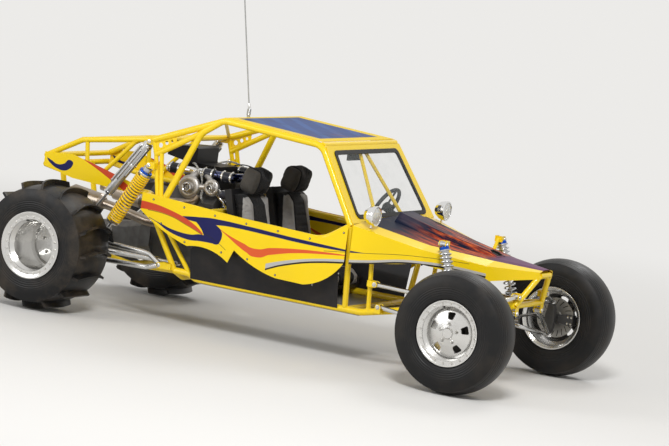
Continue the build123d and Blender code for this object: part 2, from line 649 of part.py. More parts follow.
def sleeve(top, low, rows, bore_r):
    """Turned sleeve along a line with a plain bore."""
    direction, _ = shock_axis(top, low)
    start = Vector(*top) + direction * (rows[0][0] - 5)
    finish = Vector(*top) + direction * (rows[-1][0] + 5)
    return largest(stepped(top, low, rows) - rod(start, finish, 2 * bore_r))


SPRING_GAP = 1.0
FRONT_SPRING_R = 42.0
FRONT_BODY_R = 25.0
REAR_SPRING_R = 49.0
REAR_BODY_R = 30.0
BYPASS_R = 31.0
ROD_R = 9.0
SPRING_TURNS_FRONT = 14
SPRING_TURNS_REAR = 20


def shock(top, low, body_r, spring_r, body_end, perch):
    """Damper with its top collar, shaft, lower spring perch and two bushes."""
    _, length = shock_axis(top, low)
    rows = [(0, 11), (34, 11), (36, spring_r - 4), (44, spring_r - 4), (45, body_r), (body_end, body_r),
            (body_end, ROD_R), (perch, ROD_R), (perch, spring_r - 2), (perch + 8, spring_r - 2),
            (perch + 10, 13), (length, 13)]
    return stepped(top, low, rows)


def with_bushes(solid, top, low, axis):
    """Shock with a bush at each end."""
    solid = solid + barrel(top, axis) + barrel(low, axis)
    return largest(solid - bolt_hole(top, axis) - bolt_hole(low, axis))


FRONT_PERCH = 455.0
REAR_PERCH = 470.0


def front_shocks():
    """Front coil-over dampers."""
    body = shock(SHOCK_TOP, SHOCK_LOW, FRONT_BODY_R, FRONT_SPRING_R, 250, FRONT_PERCH)
    return both_sides(with_bushes(body, SHOCK_TOP, SHOCK_LOW, (1, 0, 0)))


def front_springs():
    """Front coil springs, each as one ribbed sleeve."""
    rows = coils(46, FRONT_PERCH - SPRING_GAP, SPRING_TURNS_FRONT, FRONT_SPRING_R, FRONT_SPRING_R - 8)
    return both_sides(sleeve(SHOCK_TOP, SHOCK_LOW, rows, FRONT_BODY_R + SPRING_GAP))


def rear_springs():
    """Rear coil springs, each as one ribbed sleeve."""
    rows = coils(78, REAR_PERCH - SPRING_GAP, SPRING_TURNS_REAR, REAR_SPRING_R, REAR_SPRING_R - 9)
    return both_sides(sleeve(COIL_TOP, COIL_LOW, rows, REAR_BODY_R + SPRING_GAP))


def rear_dampers():
    """Coil-over bodies and the larger bypass dampers behind them, with their side tubes."""
    _, length = shock_axis(COIL_TOP, COIL_LOW)
    rows = [(0, 12), (20, 12), (22, REAR_BODY_R), (66, REAR_BODY_R), (68, 45), (76, 45), (77, REAR_BODY_R),
            (300, REAR_BODY_R), (300, ROD_R), (REAR_PERCH, ROD_R), (REAR_PERCH, 47), (REAR_PERCH + 8, 47),
            (REAR_PERCH + 10, 13), (length, 13)]
    coil = with_bushes(stepped(COIL_TOP, COIL_LOW, rows), COIL_TOP, COIL_LOW, (0, 1, 0))
    direction, length = shock_axis(BYPASS_TOP, BYPASS_LOW)
    rows = [(0, 12), (22, 12), (24, BYPASS_R), (length * 0.62, BYPASS_R), (length * 0.62, ROD_R),
            (length - 40, ROD_R), (length - 38, 14), (length, 14)]
    bypass = stepped(BYPASS_TOP, BYPASS_LOW, rows)
    across = direction.cross(Vector(0, 1, 0)).normalized()
    # Side tubes: share of a turn from the outside, start and end along the damper
    for turn, first, last in ((-50, 50, 0.50), (0, 70, 0.44), (50, 50, 0.38)):
        away = Vector(0, 1, 0) * cos(radians(turn)) + across * sin(radians(turn))
        offset = away * (BYPASS_R + 7)
        a = Vector(*BYPASS_TOP) + direction * first
        b = Vector(*BYPASS_TOP) + direction * (length * last)
        foot = b + away * 20 + direction * 12
        bypass = bypass + pipe([a + away * 20, a + offset + direction * 12, b + offset, foot], 12, 6)
    bypass = with_bushes(bypass, BYPASS_TOP, BYPASS_LOW, (0, 1, 0))
    return both_sides([coil, bypass])


# Rear hubs
CARRIER_IN_Y = 500.0
CARRIER_OUT_Y = 578.0
CARRIER_R = 85.0
STUB_R = 40.0
DRIVE_R = 17.0
FLANGE_Y = 222.0
AXLE_Z = REAR_TYRE_R


def rear_trailing_arms():
    """Trailing arms with their hub carriers and damper brackets."""
    hub_y = (CARRIER_IN_Y + CARRIER_OUT_Y) / 2
    carrier = rod((REAR_AXLE_X, CARRIER_IN_Y, AXLE_Z), (REAR_AXLE_X, CARRIER_OUT_Y, AXLE_Z), 2 * CARRIER_R)
    px, py, pz = ARM_PIVOT
    upper = [ARM_PIVOT, (px - 95, py + 8, pz + 62), (REAR_AXLE_X + 40, hub_y, AXLE_Z + 62)]
    lower = [ARM_PIVOT, (px - 100, py + 8, pz - 32), (REAR_AXLE_X + 40, hub_y, AXLE_Z - 66)]
    inner_pivot = (px, 250.0, pz)
    arm = carrier + pipe(upper, 34, 120) + pipe(lower, 34, 120)
    arm = arm + rod(inner_pivot, (REAR_AXLE_X + 30, hub_y - 20, AXLE_Z - 10), 34)
    arm = arm + barrel(ARM_PIVOT, (0, 1, 0)) + barrel(inner_pivot, (0, 1, 0))
    flat = Plane(origin=(0, COIL_LOW[1] - BARREL_L / 2 - GAP, 0), x_dir=(1, 0, 0), z_dir=(0, -1, 0))
    foot_z = AXLE_Z + 62
    x, z = COIL_LOW[0], COIL_LOW[2]
    arm = arm + plate([(x - 45, foot_z), (x + 45, foot_z - 8), (x + 17, z + 12), (x - 17, z + 12)], flat, 8)
    flat = Plane(origin=(0, BYPASS_LOW[1] + BARREL_L / 2 + GAP + 8, 0), x_dir=(1, 0, 0), z_dir=(0, -1, 0))
    x, z = BYPASS_LOW[0], BYPASS_LOW[2]
    outline = [(REAR_AXLE_X - 40, AXLE_Z + 40), (x + 60, foot_z - 10), (x + 18, z + 15), (x - 18, z + 15)]
    arm = arm + plate(outline, flat, 8)
    for pivot in (COIL_LOW, BYPASS_LOW):
        side = 1 if pivot is BYPASS_LOW else -1
        reach = side * (BARREL_L / 2 + 4)
        x, y, z = pivot
        arm = arm + rod((x, y - reach, z), (x, y + reach, z), BOLT_D)
    axle_from, axle_to = (REAR_AXLE_X, CARRIER_IN_Y - 120, AXLE_Z), (REAR_AXLE_X, CARRIER_OUT_Y + 40, AXLE_Z)
    bore = rod(axle_from, axle_to, 2 * STUB_R + 2 * SHAFT_GAP)
    arm = arm - bore - bolt_hole(ARM_PIVOT, (0, 1, 0)) - bolt_hole(inner_pivot, (0, 1, 0))
    return both_sides(largest(arm))


def wheel_plane(x, y, radius):
    """Profile plane of a left wheel: x is the radius, y points outwards along the axle."""
    return Plane(origin=(x, y, radius), x_dir=(0, 0, 1), z_dir=(-1, 0, 0))


def tyre_face(tread_r, half, shoulder_r, lip_y, bulge_y):
    """Half-round tyre section between its beads."""
    foot = BEAD_R + 19
    edge = half - 18
    right = [Line((BEAD_R, lip_y), (foot, lip_y + 1)), Line((foot, lip_y + 1), (foot + 6, half - 12)),
             ThreePointArc((foot + 6, half - 12), (foot + 78, bulge_y), (shoulder_r, edge))]
    crown = ThreePointArc((shoulder_r, edge), (tread_r, 0), (shoulder_r, -edge))
    left = [ThreePointArc((shoulder_r, -edge), (foot + 78, -bulge_y), (foot + 6, 12 - half)),
            Line((foot + 6, 12 - half), (foot, -lip_y - 1)), Line((foot, -lip_y - 1), (BEAD_R, -lip_y))]
    return make_face(right + [crown] + left + [Line((BEAD_R, -lip_y), (BEAD_R, lip_y))])


def front_tyre():
    """Smooth front tyre with its steering rib."""
    plane = wheel_plane(FRONT_AXLE_X, FRONT_WHEEL_Y, FRONT_TYRE_R)
    half = FRONT_TYRE_W / 2
    face = tyre_face(FRONT_TYRE_R, half, FRONT_TYRE_R - 26, 105, half)
    return revolve(plane * face, axis=Axis(plane.origin, plane.y_dir)).solids()[0]


def rear_tyre():
    """Rear tyre with scooped paddles fused across the tread."""
    plane = wheel_plane(REAR_AXLE_X, REAR_WHEEL_Y, REAR_TYRE_R)
    half = REAR_TYRE_W / 2
    tread_r = REAR_TYRE_R - PADDLE_H
    axis = Axis(plane.origin, plane.y_dir)
    tyre = revolve(plane * tyre_face(tread_r, half, tread_r - 24, 185, half), axis=axis).solids()[0]
    root_in, root_out = (tread_r - 40, -half + 26), (tread_r - 40, half - 26)
    tip_in, tip_out = (REAR_TYRE_R - 16, -half + 44), (REAR_TYRE_R - 16, half - 44)
    band = make_face([Line(root_in, tip_in), ThreePointArc(tip_in, (REAR_TYRE_R, 0), tip_out),
                      Line(tip_out, root_out), Line(root_out, root_in)])
    ring = revolve(plane * band, axis=axis).solids()[0]
    scoop, reach = 44.0, half - 14
    blade = make_face([ThreePointArc((scoop, -reach), (0, 0), (scoop, reach)),
                       Line((scoop, reach), (scoop + PADDLE_T, reach)),
                       ThreePointArc((scoop + PADDLE_T, reach), (PADDLE_T, 0), (scoop + PADDLE_T, -reach)),
                       Line((scoop + PADDLE_T, -reach), (scoop, -reach))])
    above = Plane(origin=plane.origin + Vector(-scoop / 2, 0, tread_r - 60), x_dir=(1, 0, 0), z_dir=(0, 0, 1))
    paddle = (ring & extrude(above * blade, 140)).solids()[0]
    paddles = [paddle.rotate(axis, 360.0 / PADDLES * k) for k in range(PADDLES)]
    return tyre.fuse(*paddles).solids()[0]


def rim_barrel(plane, half, lip_r, lip_w):
    """Rolled rim with a dropped centre, a wall of even thickness and a lip each side."""
    seat = BEAD_R - GAP - 0.2
    drop = 165.0
    outer = [(lip_r, half), (lip_r, half - lip_w), (seat, half - lip_w - 6), (seat - 2, half - lip_w - 34),
             (drop, half - lip_w - 56)]
    inner = [(drop - RIM_WALL, half - lip_w - 53), (seat - 2 - RIM_WALL, half - lip_w - 30),
             (seat - RIM_WALL, half - 10), (lip_r - 8, half)]
    profile = outer + [(r, -y) for r, y in reversed(outer)] + [(r, -y) for r, y in reversed(inner)] + inner
    return turned(profile, plane)


def front_rim():
    """Five-slot front wheel with its hub and brake disc."""
    plane = wheel_plane(FRONT_AXLE_X, FRONT_WHEEL_Y, FRONT_TYRE_R)
    barrel_half = 118.0
    rim = rim_barrel(plane, barrel_half, FRONT_LIP_R, 6)
    bore_end = 40.0
    disc_in = FRONT_DISC_Y - DISC_T / 2
    disc_out, hub_in, bore = disc_in + DISC_T, disc_in - 5, SPINDLE_R + SHAFT_GAP
    hub = [(0, 112), (30, 112), (38, 100), (80, 92), (140, 74), (161, 62), (161, 52), (138, 64), (80, 82),
           (HUB_R, 84), (HUB_R, disc_out), (DISC_R, disc_out), (DISC_R, disc_in), (HUB_R, disc_in),
           (HUB_R, hub_in), (bore, hub_in), (bore, bore_end), (0, bore_end)]
    wheel = rim + turned(hub, plane)
    slot = fillet(make_face(Polyline((-17, 86), (17, 86), (29, 132), (-29, 132), close=True)).vertices(), 9)
    face = Plane(origin=plane.origin + Vector(0, 30, 0), x_dir=(1, 0, 0), z_dir=(0, 1, 0))
    cut = extrude(face * slot, 100)
    axis = Axis(plane.origin, plane.y_dir)
    for k in range(5):
        wheel = wheel - cut.rotate(axis, 72.0 * k + 36)
    return largest(wheel)


def rear_rim():
    """Deep-dished rear wheel with its hub, brake disc, stub and half shaft."""
    plane = wheel_plane(REAR_AXLE_X, REAR_WHEEL_Y, REAR_TYRE_R)
    rim = rim_barrel(plane, REAR_TYRE_W / 2, REAR_LIP_R, 8)
    y = REAR_WHEEL_Y
    hub = [(0, -62), (48, -62), (56, -86), (140, -98), (161, -106), (161, -116), (138, -108), (64, -100),
           (64, -150), (140, -150), (140, -160), (64, -160), (64, -190), (STUB_R, -200), (STUB_R, 478 - y),
           (56, 474 - y), (56, 408 - y), (30, 392 - y), (DRIVE_R, 390 - y), (DRIVE_R, 312 - y), (30, 310 - y),
           (52, 292 - y), (52, FLANGE_Y + GAP - y), (0, FLANGE_Y + GAP - y)]
    return largest(rim + turned(hub, plane))


def knuckle():
    """Left upright with its pins, spindle, steering arm and brake caliper."""
    x, y, z = FRONT_AXLE_X, KINGPIN_Y, FRONT_TYRE_R
    low, high = BALL_LOW_Z + EYE_H / 2 + 4, BALL_UP_Z - EYE_H / 2 - 4
    half = UPRIGHT_HALF
    outline = [(-half, low - z), (half, low - z), (34, -20), (34, 24), (half, high - z), (-half, high - z),
               (-34, 24), (-34, -20)]
    side = Plane(origin=(x, y + UPRIGHT_T / 2, z), x_dir=(1, 0, 0), z_dir=(0, -1, 0))
    body = plate(outline, side, UPRIGHT_T)
    body = body + rod((x, y, low - EYE_H - 8), (x, y, high + EYE_H + 8), 2 * PIN_R)
    disc_y = FRONT_WHEEL_Y + FRONT_DISC_Y
    body = body + rod((x, y, z), (x, FRONT_WHEEL_Y + 38, z), 2 * SPINDLE_R)
    arm = Plane(origin=(x, y, TIE_Z - 24), x_dir=(1, 0, 0), z_dir=(0, 0, 1))
    tip = -STEER_ARM_X - 10
    body = body + plate([(0, -14), (0, 14), (tip, 12), (tip - 6, 0), (tip, -12)], arm, 12)
    body = body + rod((x - STEER_ARM_X, y, TIE_Z - 20), (x - STEER_ARM_X, y, TIE_Z + 12), 14)
    bracket = Plane(origin=(x, disc_y - 18, z), x_dir=(1, 0, 0), z_dir=(0, -1, 0))
    body = body + plate([(0, -24), (0, 24), (100, 34), (138, 30), (138, -30), (100, -34)], bracket, 14)
    body = body + plate([(0, -20), (0, 20), (30, 20), (30, -20)], bracket.offset(13), 36)
    caliper = plate([(84, -36), (84, 36), (136, 34), (136, -34)],
                    Plane(origin=(x, disc_y + 26, z), x_dir=(1, 0, 0), z_dir=(0, -1, 0)), 52)
    gap = DISC_T / 2 + 5
    caliper = caliper - rod((x, disc_y - gap, z), (x, disc_y + gap, z), 2 * DISC_R + 6)
    body = body + caliper
    return largest(body)


def tie_rod():
    """Left tie rod with its outer ring and plain inner end."""
    x, y = FRONT_AXLE_X - STEER_ARM_X, KINGPIN_Y
    bar = rod((x, y, TIE_Z), (x, 215, TIE_Z), TIE_D) + rod((x, y, TIE_Z - 9), (x, y, TIE_Z + 9), 32)
    bar = bar - rod((x, y, TIE_Z - 30), (x, y, TIE_Z + 30), 14 + 2 * SHAFT_GAP)
    for side in (-1, 1):
        bar = bar - rod((x, y, TIE_Z + side * 9), (x, y, TIE_Z + side * 40), 34)
    return largest(bar)


def rack_bar():
    """Sliding rack with a bell-mouthed boot at each end."""
    x = FRONT_AXLE_X - STEER_ARM_X
    half = 200.0
    bar = rod((x, -half, TIE_Z), (x, half, TIE_Z), 24)
    plane = Plane(origin=(x, 0, TIE_Z), x_dir=(0, 0, 1), z_dir=(-1, 0, 0))
    bell = turned([(10, 172), (16, 172), (26, 196), (31, 250), (28, 250), (23, 200), (10, 200)], plane)
    return [largest(bar + bell + mirrored(bell))]


def steering_rack():
    """Rack housing with its mounts and pinion box."""
    x = FRONT_AXLE_X - STEER_ARM_X
    house = rod((x, -HOUSING_HALF + 35, TIE_Z), (x, HOUSING_HALF - 35, TIE_Z), 50)
    house = house + rod((x - 10, 60, TIE_Z + 5), (x - 70, 78, TIE_Z + 34), 40)
    tube_low = on_line(RAIL_FRONT, NOSE_BOX, x)[2] - TUBE_THIN / 2 - GAP
    for y in (-85, 85):
        side = Plane(origin=(x, y + 6, 0), x_dir=(1, 0, 0), z_dir=(0, -1, 0))
        house = house + plate([(-20, TIE_Z), (20, TIE_Z), (16, tube_low), (-16, tube_low)], side, 12)
    return [largest(house - rod((x, -300, TIE_Z), (x, 300, TIE_Z), 24 + 2 * SHAFT_GAP))]


WHEEL_CENTRE = (402.0, 300.0, 960.0)
COLUMN_SLOPE = -0.52
COLUMN_D = 28.0
WHEEL_R = 145.0
WHEEL_HUB_L = 40.0


def column_point(distance):
    """Point on the steering column ahead of the steering wheel's centre."""
    step = Vector(1, 0, COLUMN_SLOPE).normalized() * distance
    return tuple(Vector(*WHEEL_CENTRE) + step)


def steering_column():
    """Column tube, universal joint and the shaft down to the rack."""
    x = FRONT_AXLE_X - STEER_ARM_X
    joint = column_point(330)
    column = rod(column_point(WHEEL_HUB_L + GAP), joint, COLUMN_D)
    column = column + rod(column_point(318), column_point(345), 40)
    end = (x - 70.65, 78.25, TIE_Z + 34.4)
    return [largest(column + rod(joint, end, 20))]


def steering_wheel():
    """Three-spoke wheel with its hub round the column's end."""
    axis = Vector(1, 0, COLUMN_SLOPE).normalized()
    plane = Plane(origin=Vector(*WHEEL_CENTRE), x_dir=(0, 1, 0), z_dir=axis)
    wheel = Solid.make_torus(WHEEL_R - 13, 13, plane)
    hub = rod(Vector(*WHEEL_CENTRE) - axis * 4, column_point(WHEEL_HUB_L), 64)
    wheel = wheel + hub
    for k in range(3):
        wheel = wheel + plane * Rot(0, 0, 90 + 120 * k) * Pos(WHEEL_R / 2, 0, 6) * Box(WHEEL_R - 16, 26, 5)
    return [largest(wheel)]


# Engine and gearbox; the section's (y, z) points run up the left side
ENGINE_TOP_Z = 770.0
ENGINE_SECTION = [(110, 392), (150, 520), (232, 706), (258, 772), (186, 838), (92, ENGINE_TOP_Z)]
ENGINE_FRONT_X = -530.0
ENGINE_REAR_X = -1080.0
GEARBOX_REAR_X = -1672.0
TURBO_Y = 300.0
TURBO_Z = 918.0
CHARGE_PIPE_D = 58.0
CHARGE_Y = 238.0
CHARGE_Z = 1018.0
CHARGE_JOINT_X = -648.0
EXHAUST_D = 64.0


def lengthwise(points, x_rear, x_front):
    """Solid with one (y, z) section, stretched along the car."""
    face = section(x_rear, points)
    return extrude(face, x_front - x_rear, dir=(1, 0, 0)).solids()[0]


def engine_block():
    """Vee engine: crankcase and cylinder heads as one block."""
    points = ENGINE_SECTION + [(-y, z) for y, z in reversed(ENGINE_SECTION)]
    block = lengthwise(points, ENGINE_REAR_X, ENGINE_FRONT_X)
    sump = [(-95, 392), (95, 392), (80, 341.4), (-80, 341.4)]
    sump = lengthwise(sump, ENGINE_REAR_X + 60, ENGINE_FRONT_X - 120)
    return [largest(block + sump)]


def valve_covers():
    """Rounded cam covers on both heads."""
    cover = lengthwise([(256.3, 774), (186.3, 838), (207.3, 877), (233.3, 889), (297.3, 830), (293.3, 803)],
                       ENGINE_REAR_X + 25, ENGINE_FRONT_X - 25)
    long_edges = cover.edges().filter_by(Axis.X).sort_by(Axis.Z)[2:]
    return both_sides(fillet(long_edges, 9).solids()[0])


AIR_BOX_HALF = 140.0


def scroll(centre_point, radius, tube_r, neck_to):
    """Snail housing facing outwards, with its inlet ring and outlet neck."""
    x, y, z = centre_point
    plane = Plane(origin=(x, y, z), x_dir=(1, 0, 0), z_dir=(0, 1, 0))
    snail = Solid.make_torus(radius, tube_r, plane)
    snail = snail + rod((x, y - tube_r, z), (x, y + tube_r * 0.7, z), 2 * radius)
    snail = snail + rod((x, y, z), (x, y + tube_r + 22, z), 1.1 * radius)
    snail = snail - rod((x, y + tube_r - 4, z), (x, y + tube_r + 30, z), 0.82 * radius)
    start = (x, y, z + radius) if neck_to[2] > z else (x, y, z - radius)
    return snail + rod(start, neck_to, 2 * tube_r)


def turbochargers():
    """A turbocharger each side: compressor, bearing block and turbine, with necks to the pipe."""
    z = TURBO_Z
    front = scroll((-583, TURBO_Y, z + 20), 40, 18, (-684, CHARGE_Y, CHARGE_Z))
    rear = scroll((-749, TURBO_Y, z), 56, 25, (-724, CHARGE_Y, CHARGE_Z))
    turbo = front + rear + rod((-700, TURBO_Y - 10, z + 7), (-620, TURBO_Y - 10, z + 15), 46)
    bright, dark = CHARGE_PIPE_D + 2 * GAP, CHARGE_PIPE_D + 4 + 2 * GAP
    for start, end, diameter in ((-985, CHARGE_JOINT_X, bright), (CHARGE_JOINT_X, -470, dark)):
        turbo = turbo - rod((start, CHARGE_Y, CHARGE_Z), (end, CHARGE_Y, CHARGE_Z), diameter)
    return both_sides(largest(turbo))


def charge_pipes():
    """Polished pipe and dark pipe each side, joined by a hose collar."""
    x, y, z = CHARGE_JOINT_X, CHARGE_Y, CHARGE_Z
    bright = pipe([(-985, y - 60, z - 10), (-930, y, z), (x, y, z)], CHARGE_PIPE_D, 40)
    dark = pipe([(x + GAP, y, z), (-470, y, z), (-455, y - 100, z)], CHARGE_PIPE_D + 4, 60)
    return both_sides([bright, dark])


def air_box():
    """Black air box over the engine, with the plenum below it."""
    side = Plane(origin=(0, AIR_BOX_HALF, 0), x_dir=(1, 0, 0), z_dir=(0, -1, 0))
    outline = [(-1040, 1088), (-811, 1050), (-811, 1160), (-825, 1172), (-990, 1160), (-1040, 1128)]
    box = plate(outline, side, 2 * AIR_BOX_HALF)
    foot, top = ENGINE_TOP_Z + GAP, 1062
    neck = [(-88, foot), (88, foot), (120, 900), (120, top), (-120, top), (-120, 900)]
    return [largest(box + lengthwise(neck, -900, -640))]


def exhaust():
    """One pipe each side from the head to the tail."""
    route = [(-640, 190, 650), (-720, 292, 640), (-1040, 300, 640), (-1350, 275, 690), (-1765, 275, 745)]
    solid = pipe(route, EXHAUST_D, 60)
    muffler = stepped((-1400, 275, 696.6), (-1765, 275, 745), [(0, 40), (30, 62), (250, 62), (280, 40)])
    bore = rod(between(route[3], route[4], 0.86), between(route[3], route[4], 1.1), EXHAUST_D - 6)
    flank = [(0, 520), (150 + GAP, 520), (232 + GAP, 706), (0, 706)]
    flank = lengthwise(flank, ENGINE_REAR_X, ENGINE_FRONT_X)
    return both_sides(largest(solid + muffler - bore - flank))


def transaxle():
    """Gearbox with its bell housing and output flanges."""
    x0 = ENGINE_REAR_X - GAP
    stations = [(x0, 175, 400, 720), (x0 - 90, 165, 385, 640), (x0 - 230, 105, 345, 585),
                (REAR_AXLE_X - 60, 100, 345, 560), (GEARBOX_REAR_X, 70, 372, 500)]
    faces = []
    for x, half, low, high in stations:
        c = half * 0.35
        faces.append(section(x, [(-half + c, low), (half - c, low), (half, low + c), (half, high - c),
                                 (half - c, high), (-half + c, high), (-half, high - c), (-half, low + c)]))
    box = ruled(faces)
    z = AXLE_Z
    box = box + rod((REAR_AXLE_X, -FLANGE_Y, z), (REAR_AXLE_X, FLANGE_Y, z), 96)
    box = box + rod((REAR_AXLE_X, -160, z), (REAR_AXLE_X, 160, z), 150)
    return [largest(box)]


def headlamps():
    """Chrome bowls with glass faces on short stems at the cowl's corners."""
    x, y, z = 738.0, 512.0, 976.0
    plane = Plane(origin=(x - 70, y, z), x_dir=(0, 1, 0), z_dir=(0, 0, -1))
    bowl = turned([(0, 0), (20, 0), (38, 12), (58, 40), (64, 66), (64, 84), (0, 84)], plane)
    stem = rod((x - 16, y, z - 30), (x - 16, y, 896.9), 16)
    return both_sides(largest(bowl + stem))


def whip():
    """Whip aerial on its bracket over the roof's rear tube."""
    x, y = ROOF_REAR_X, -205.0
    foot_z = ROOF_REAR_Z + TUBE_MAIN / 2 + GAP
    lean = radians(11)
    tip = (x - 1270 * sin(lean), y, foot_z + 50 + 1270 * cos(lean))
    base = rod((x, y, foot_z), (x, y, foot_z + 14), 22) + rod((x, y, foot_z + 10), (x, y, foot_z + 56), 20)
    return [largest(base + rod((x, y, foot_z + 50), tip, 9))]


def mirror():
    """Inside mirror on its stem below the header."""
    x, z = ROOF_FRONT_X, ROOF_FRONT_Z - TUBE_MAIN / 2
    glass = Pos(x - 24, 0, z - 62) * Box(12, 190, 52)
    stem = rod((x, 0, z - GAP), (x, 0, z - 30), 12) + rod((x, 0, z - 28), (x - 22, 0, z - 50), 12)
    return [largest(glass + stem)]


def seat_runners():
    """Two rails under each seat down to the belly sheet."""
    low, high = FLOOR_Z - TUBE_MAIN / 2, SEAT_BASE_Z - GAP
    rails = [Pos(0, SEAT_Y + side * 130, (low + high) / 2) * Box(330, 26, high - low) for side in (-1, 1)]
    return both_sides([r.solids()[0] for r in rails])


frame_nodes, frame_solids = welded_frame()

NODES = dict(frame_nodes)
NODES.update({
    "suspension_tabs": suspension_tabs(frame_solids),
    "side_panels": side_panels(),
    "engine_side_skins": engine_side_skins(),
    "floor_pan": floor_pan(),
    "roof_panel": roof_panel(),
    "windscreen_surround": windscreen_surround(),
    "windscreen_seal": windscreen_seal(),
    "windscreen_glass": windscreen_glass(),
    "nose_side_panels": nose_side_panels(frame_solids),
    "hood_panel": hood_panel(),
    "tail_panels": tail_panels(),
    "rail_gussets": rail_gussets(frame_solids),
    "dash_panel": dash_panel(frame_solids),
    "seat_shells": seat_shells(),
    "seat_runners": seat_runners(),
    "seat_cushions": seat_cushions(),
    "headrests": headrests(),
    "front_arms": front_arms(),
    "front_shocks": front_shocks(),
    "front_springs": front_springs(),
    "rear_trailing_arms": rear_trailing_arms(),
    "rear_dampers": rear_dampers(),
    "rear_springs": rear_springs(),
    "engine_block": engine_block(),
    "valve_covers": valve_covers(),
    "turbochargers": turbochargers(),
    "charge_pipes": charge_pipes(),
    "air_box": air_box(),
    "exhaust": exhaust(),
    "transaxle": transaxle(),
    "headlamps": headlamps(),
    "mirror": mirror(),
    "whip": whip(),
    "steering_rack": steering_rack(),
    "rack_bar": rack_bar(),
    "steering_column": steering_column(),
    "steering_wheel": steering_wheel(),
})
SIDED = {
    "knuckle": knuckle,
    "tie_rod": tie_rod,
    "front_tyre": front_tyre,
    "front_rim": front_rim,
    "rear_tyre": rear_tyre,
    "rear_rim": rear_rim,
}
for name, make in SIDED.items():
    left = make()
    NODES[name + "_left"] = [left]
    NODES[name + "_right"] = [mirrored(left)]

for name, solids in NODES.items():
    export_step(Compound(children=list(solids)) if len(solids) > 1 else solids[0], f"parts/{name}.step")
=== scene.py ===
import math

import bmesh
import bpy
import numpy as np
from mathutils import Matrix, Vector


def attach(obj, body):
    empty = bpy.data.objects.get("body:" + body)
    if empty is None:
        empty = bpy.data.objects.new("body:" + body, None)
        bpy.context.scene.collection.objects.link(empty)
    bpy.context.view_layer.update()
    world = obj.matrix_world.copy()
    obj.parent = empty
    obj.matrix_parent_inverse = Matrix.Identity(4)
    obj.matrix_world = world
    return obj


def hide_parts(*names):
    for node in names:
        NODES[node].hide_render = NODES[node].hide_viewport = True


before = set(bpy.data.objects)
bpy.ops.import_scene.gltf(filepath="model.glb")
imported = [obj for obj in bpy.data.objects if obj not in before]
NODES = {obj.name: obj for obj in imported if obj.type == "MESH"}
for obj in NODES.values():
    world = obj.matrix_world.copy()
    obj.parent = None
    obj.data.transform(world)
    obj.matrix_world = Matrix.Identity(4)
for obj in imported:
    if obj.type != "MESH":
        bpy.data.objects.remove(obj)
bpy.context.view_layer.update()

# Places on the car, in metres, as in the part's source: +X forward, +Y left, +Z up
FRONT_AXLE = np.array([1.531, 0.785, 0.3875])
REAR_AXLE = np.array([-1.489, 0.800, 0.430])
SHOCK_TOP, SHOCK_LOW = np.array([1.205, 0.430, 0.872]), np.array([1.392, 0.4287, 0.3642])
COIL_TOP, COIL_LOW = np.array([-0.926, 0.540, 1.040]), np.array([-1.192, 0.540, 0.571])
BYPASS_TOP, BYPASS_LOW = np.array([-0.985, 0.470, 1.188]), np.array([-1.420, 0.500, 0.566])
SEAT_Y = 0.275
LAMP = np.array([0.738, 0.512, 0.976])
WHEEL_CENTRE = np.array([0.402, 0.300, 0.960])
COLUMN_SLOPE = -0.52
FLANK_Y0, FLANK_LEAN = 0.5804, 0.02713      # flank's outer face: |y| = y0 + lean * x
PILLAR_FOOT, PILLAR_TOP = (0.613, 0.572, 0.893), (0.304, 0.512, 1.362)
TRUSS_LOW, DIAG_KNEE = (-0.917, 0.498, 1.112), (-0.595, 0.503, 1.302)
BELT_REAR, BELT_MID = (-0.935, 0.530, 0.835), (-0.190, 0.550, 0.790)
NOSE_RAIL_REAR, NOSE_RAIL_MID, NOSE_TIP = (0.625, 0.540, 0.862), (1.070, 0.385, 0.785), (1.735, 0.072, 0.740)
RAIL_FRONT, NOSE_BOX = (0.700, 0.450, 0.345), (1.650, 0.200, 0.541)
TAIL_UP_FRONT, TAIL_UP_REAR = (-0.947, 0.400, 1.205), (-1.550, 0.400, 1.110)
TAIL_LOW_FRONT, TAIL_LOW_REAR = (-0.957, 0.400, 0.838), (-1.600, 0.400, 0.868)
MAIN_R, MID_R, THIN_R, SMALL_R = 0.022, 0.019, 0.015, 0.012      # the frame's tubes
# Turbos on the left: middle, housing's radius and scroll's radius
TURBOS = [(np.array([-0.583, 0.300, 0.938]), 0.040, 0.018), (np.array([-0.749, 0.300, 0.918]), 0.056, 0.025)]
# Seat back's bolster seam: its distance from the seat's middle at two heights
BOLSTER_HEIGHTS, BOLSTER_EDGE = (0.50, 0.95), (0.108, 0.074)
BASE_EDGE = 0.105
SEAM_DEPTH, SEAM_WIDTH, PLEAT_DEPTH, PLEAT_PITCH = 0.0065, 0.0055, 0.0045, 0.068
SETTLE_FRAMES = 20      # the cloth's steps under pressure
BLADES = 9              # of each compressor wheel
SIDES = (("left", 1.0), ("right", -1.0))
TWIN = np.array([1.0, -1.0, 1.0])      # the left side's points times this are the right side's

# Paints and finishes, linear RGB
YELLOW = (0.94, 0.66, 0.006)
NAVY = (0.004, 0.006, 0.085)
RED = (0.60, 0.065, 0.020)
SILVER = (0.48, 0.48, 0.47)
BLACK = (0.012, 0.012, 0.014)
SAND = (0.56, 0.42, 0.28)
BLUE = (0.014, 0.060, 0.24)
INK = (0.007, 0.011, 0.030)
ORANGE = (0.72, 0.105, 0.025)
PURPLE = (0.16, 0.045, 0.13)


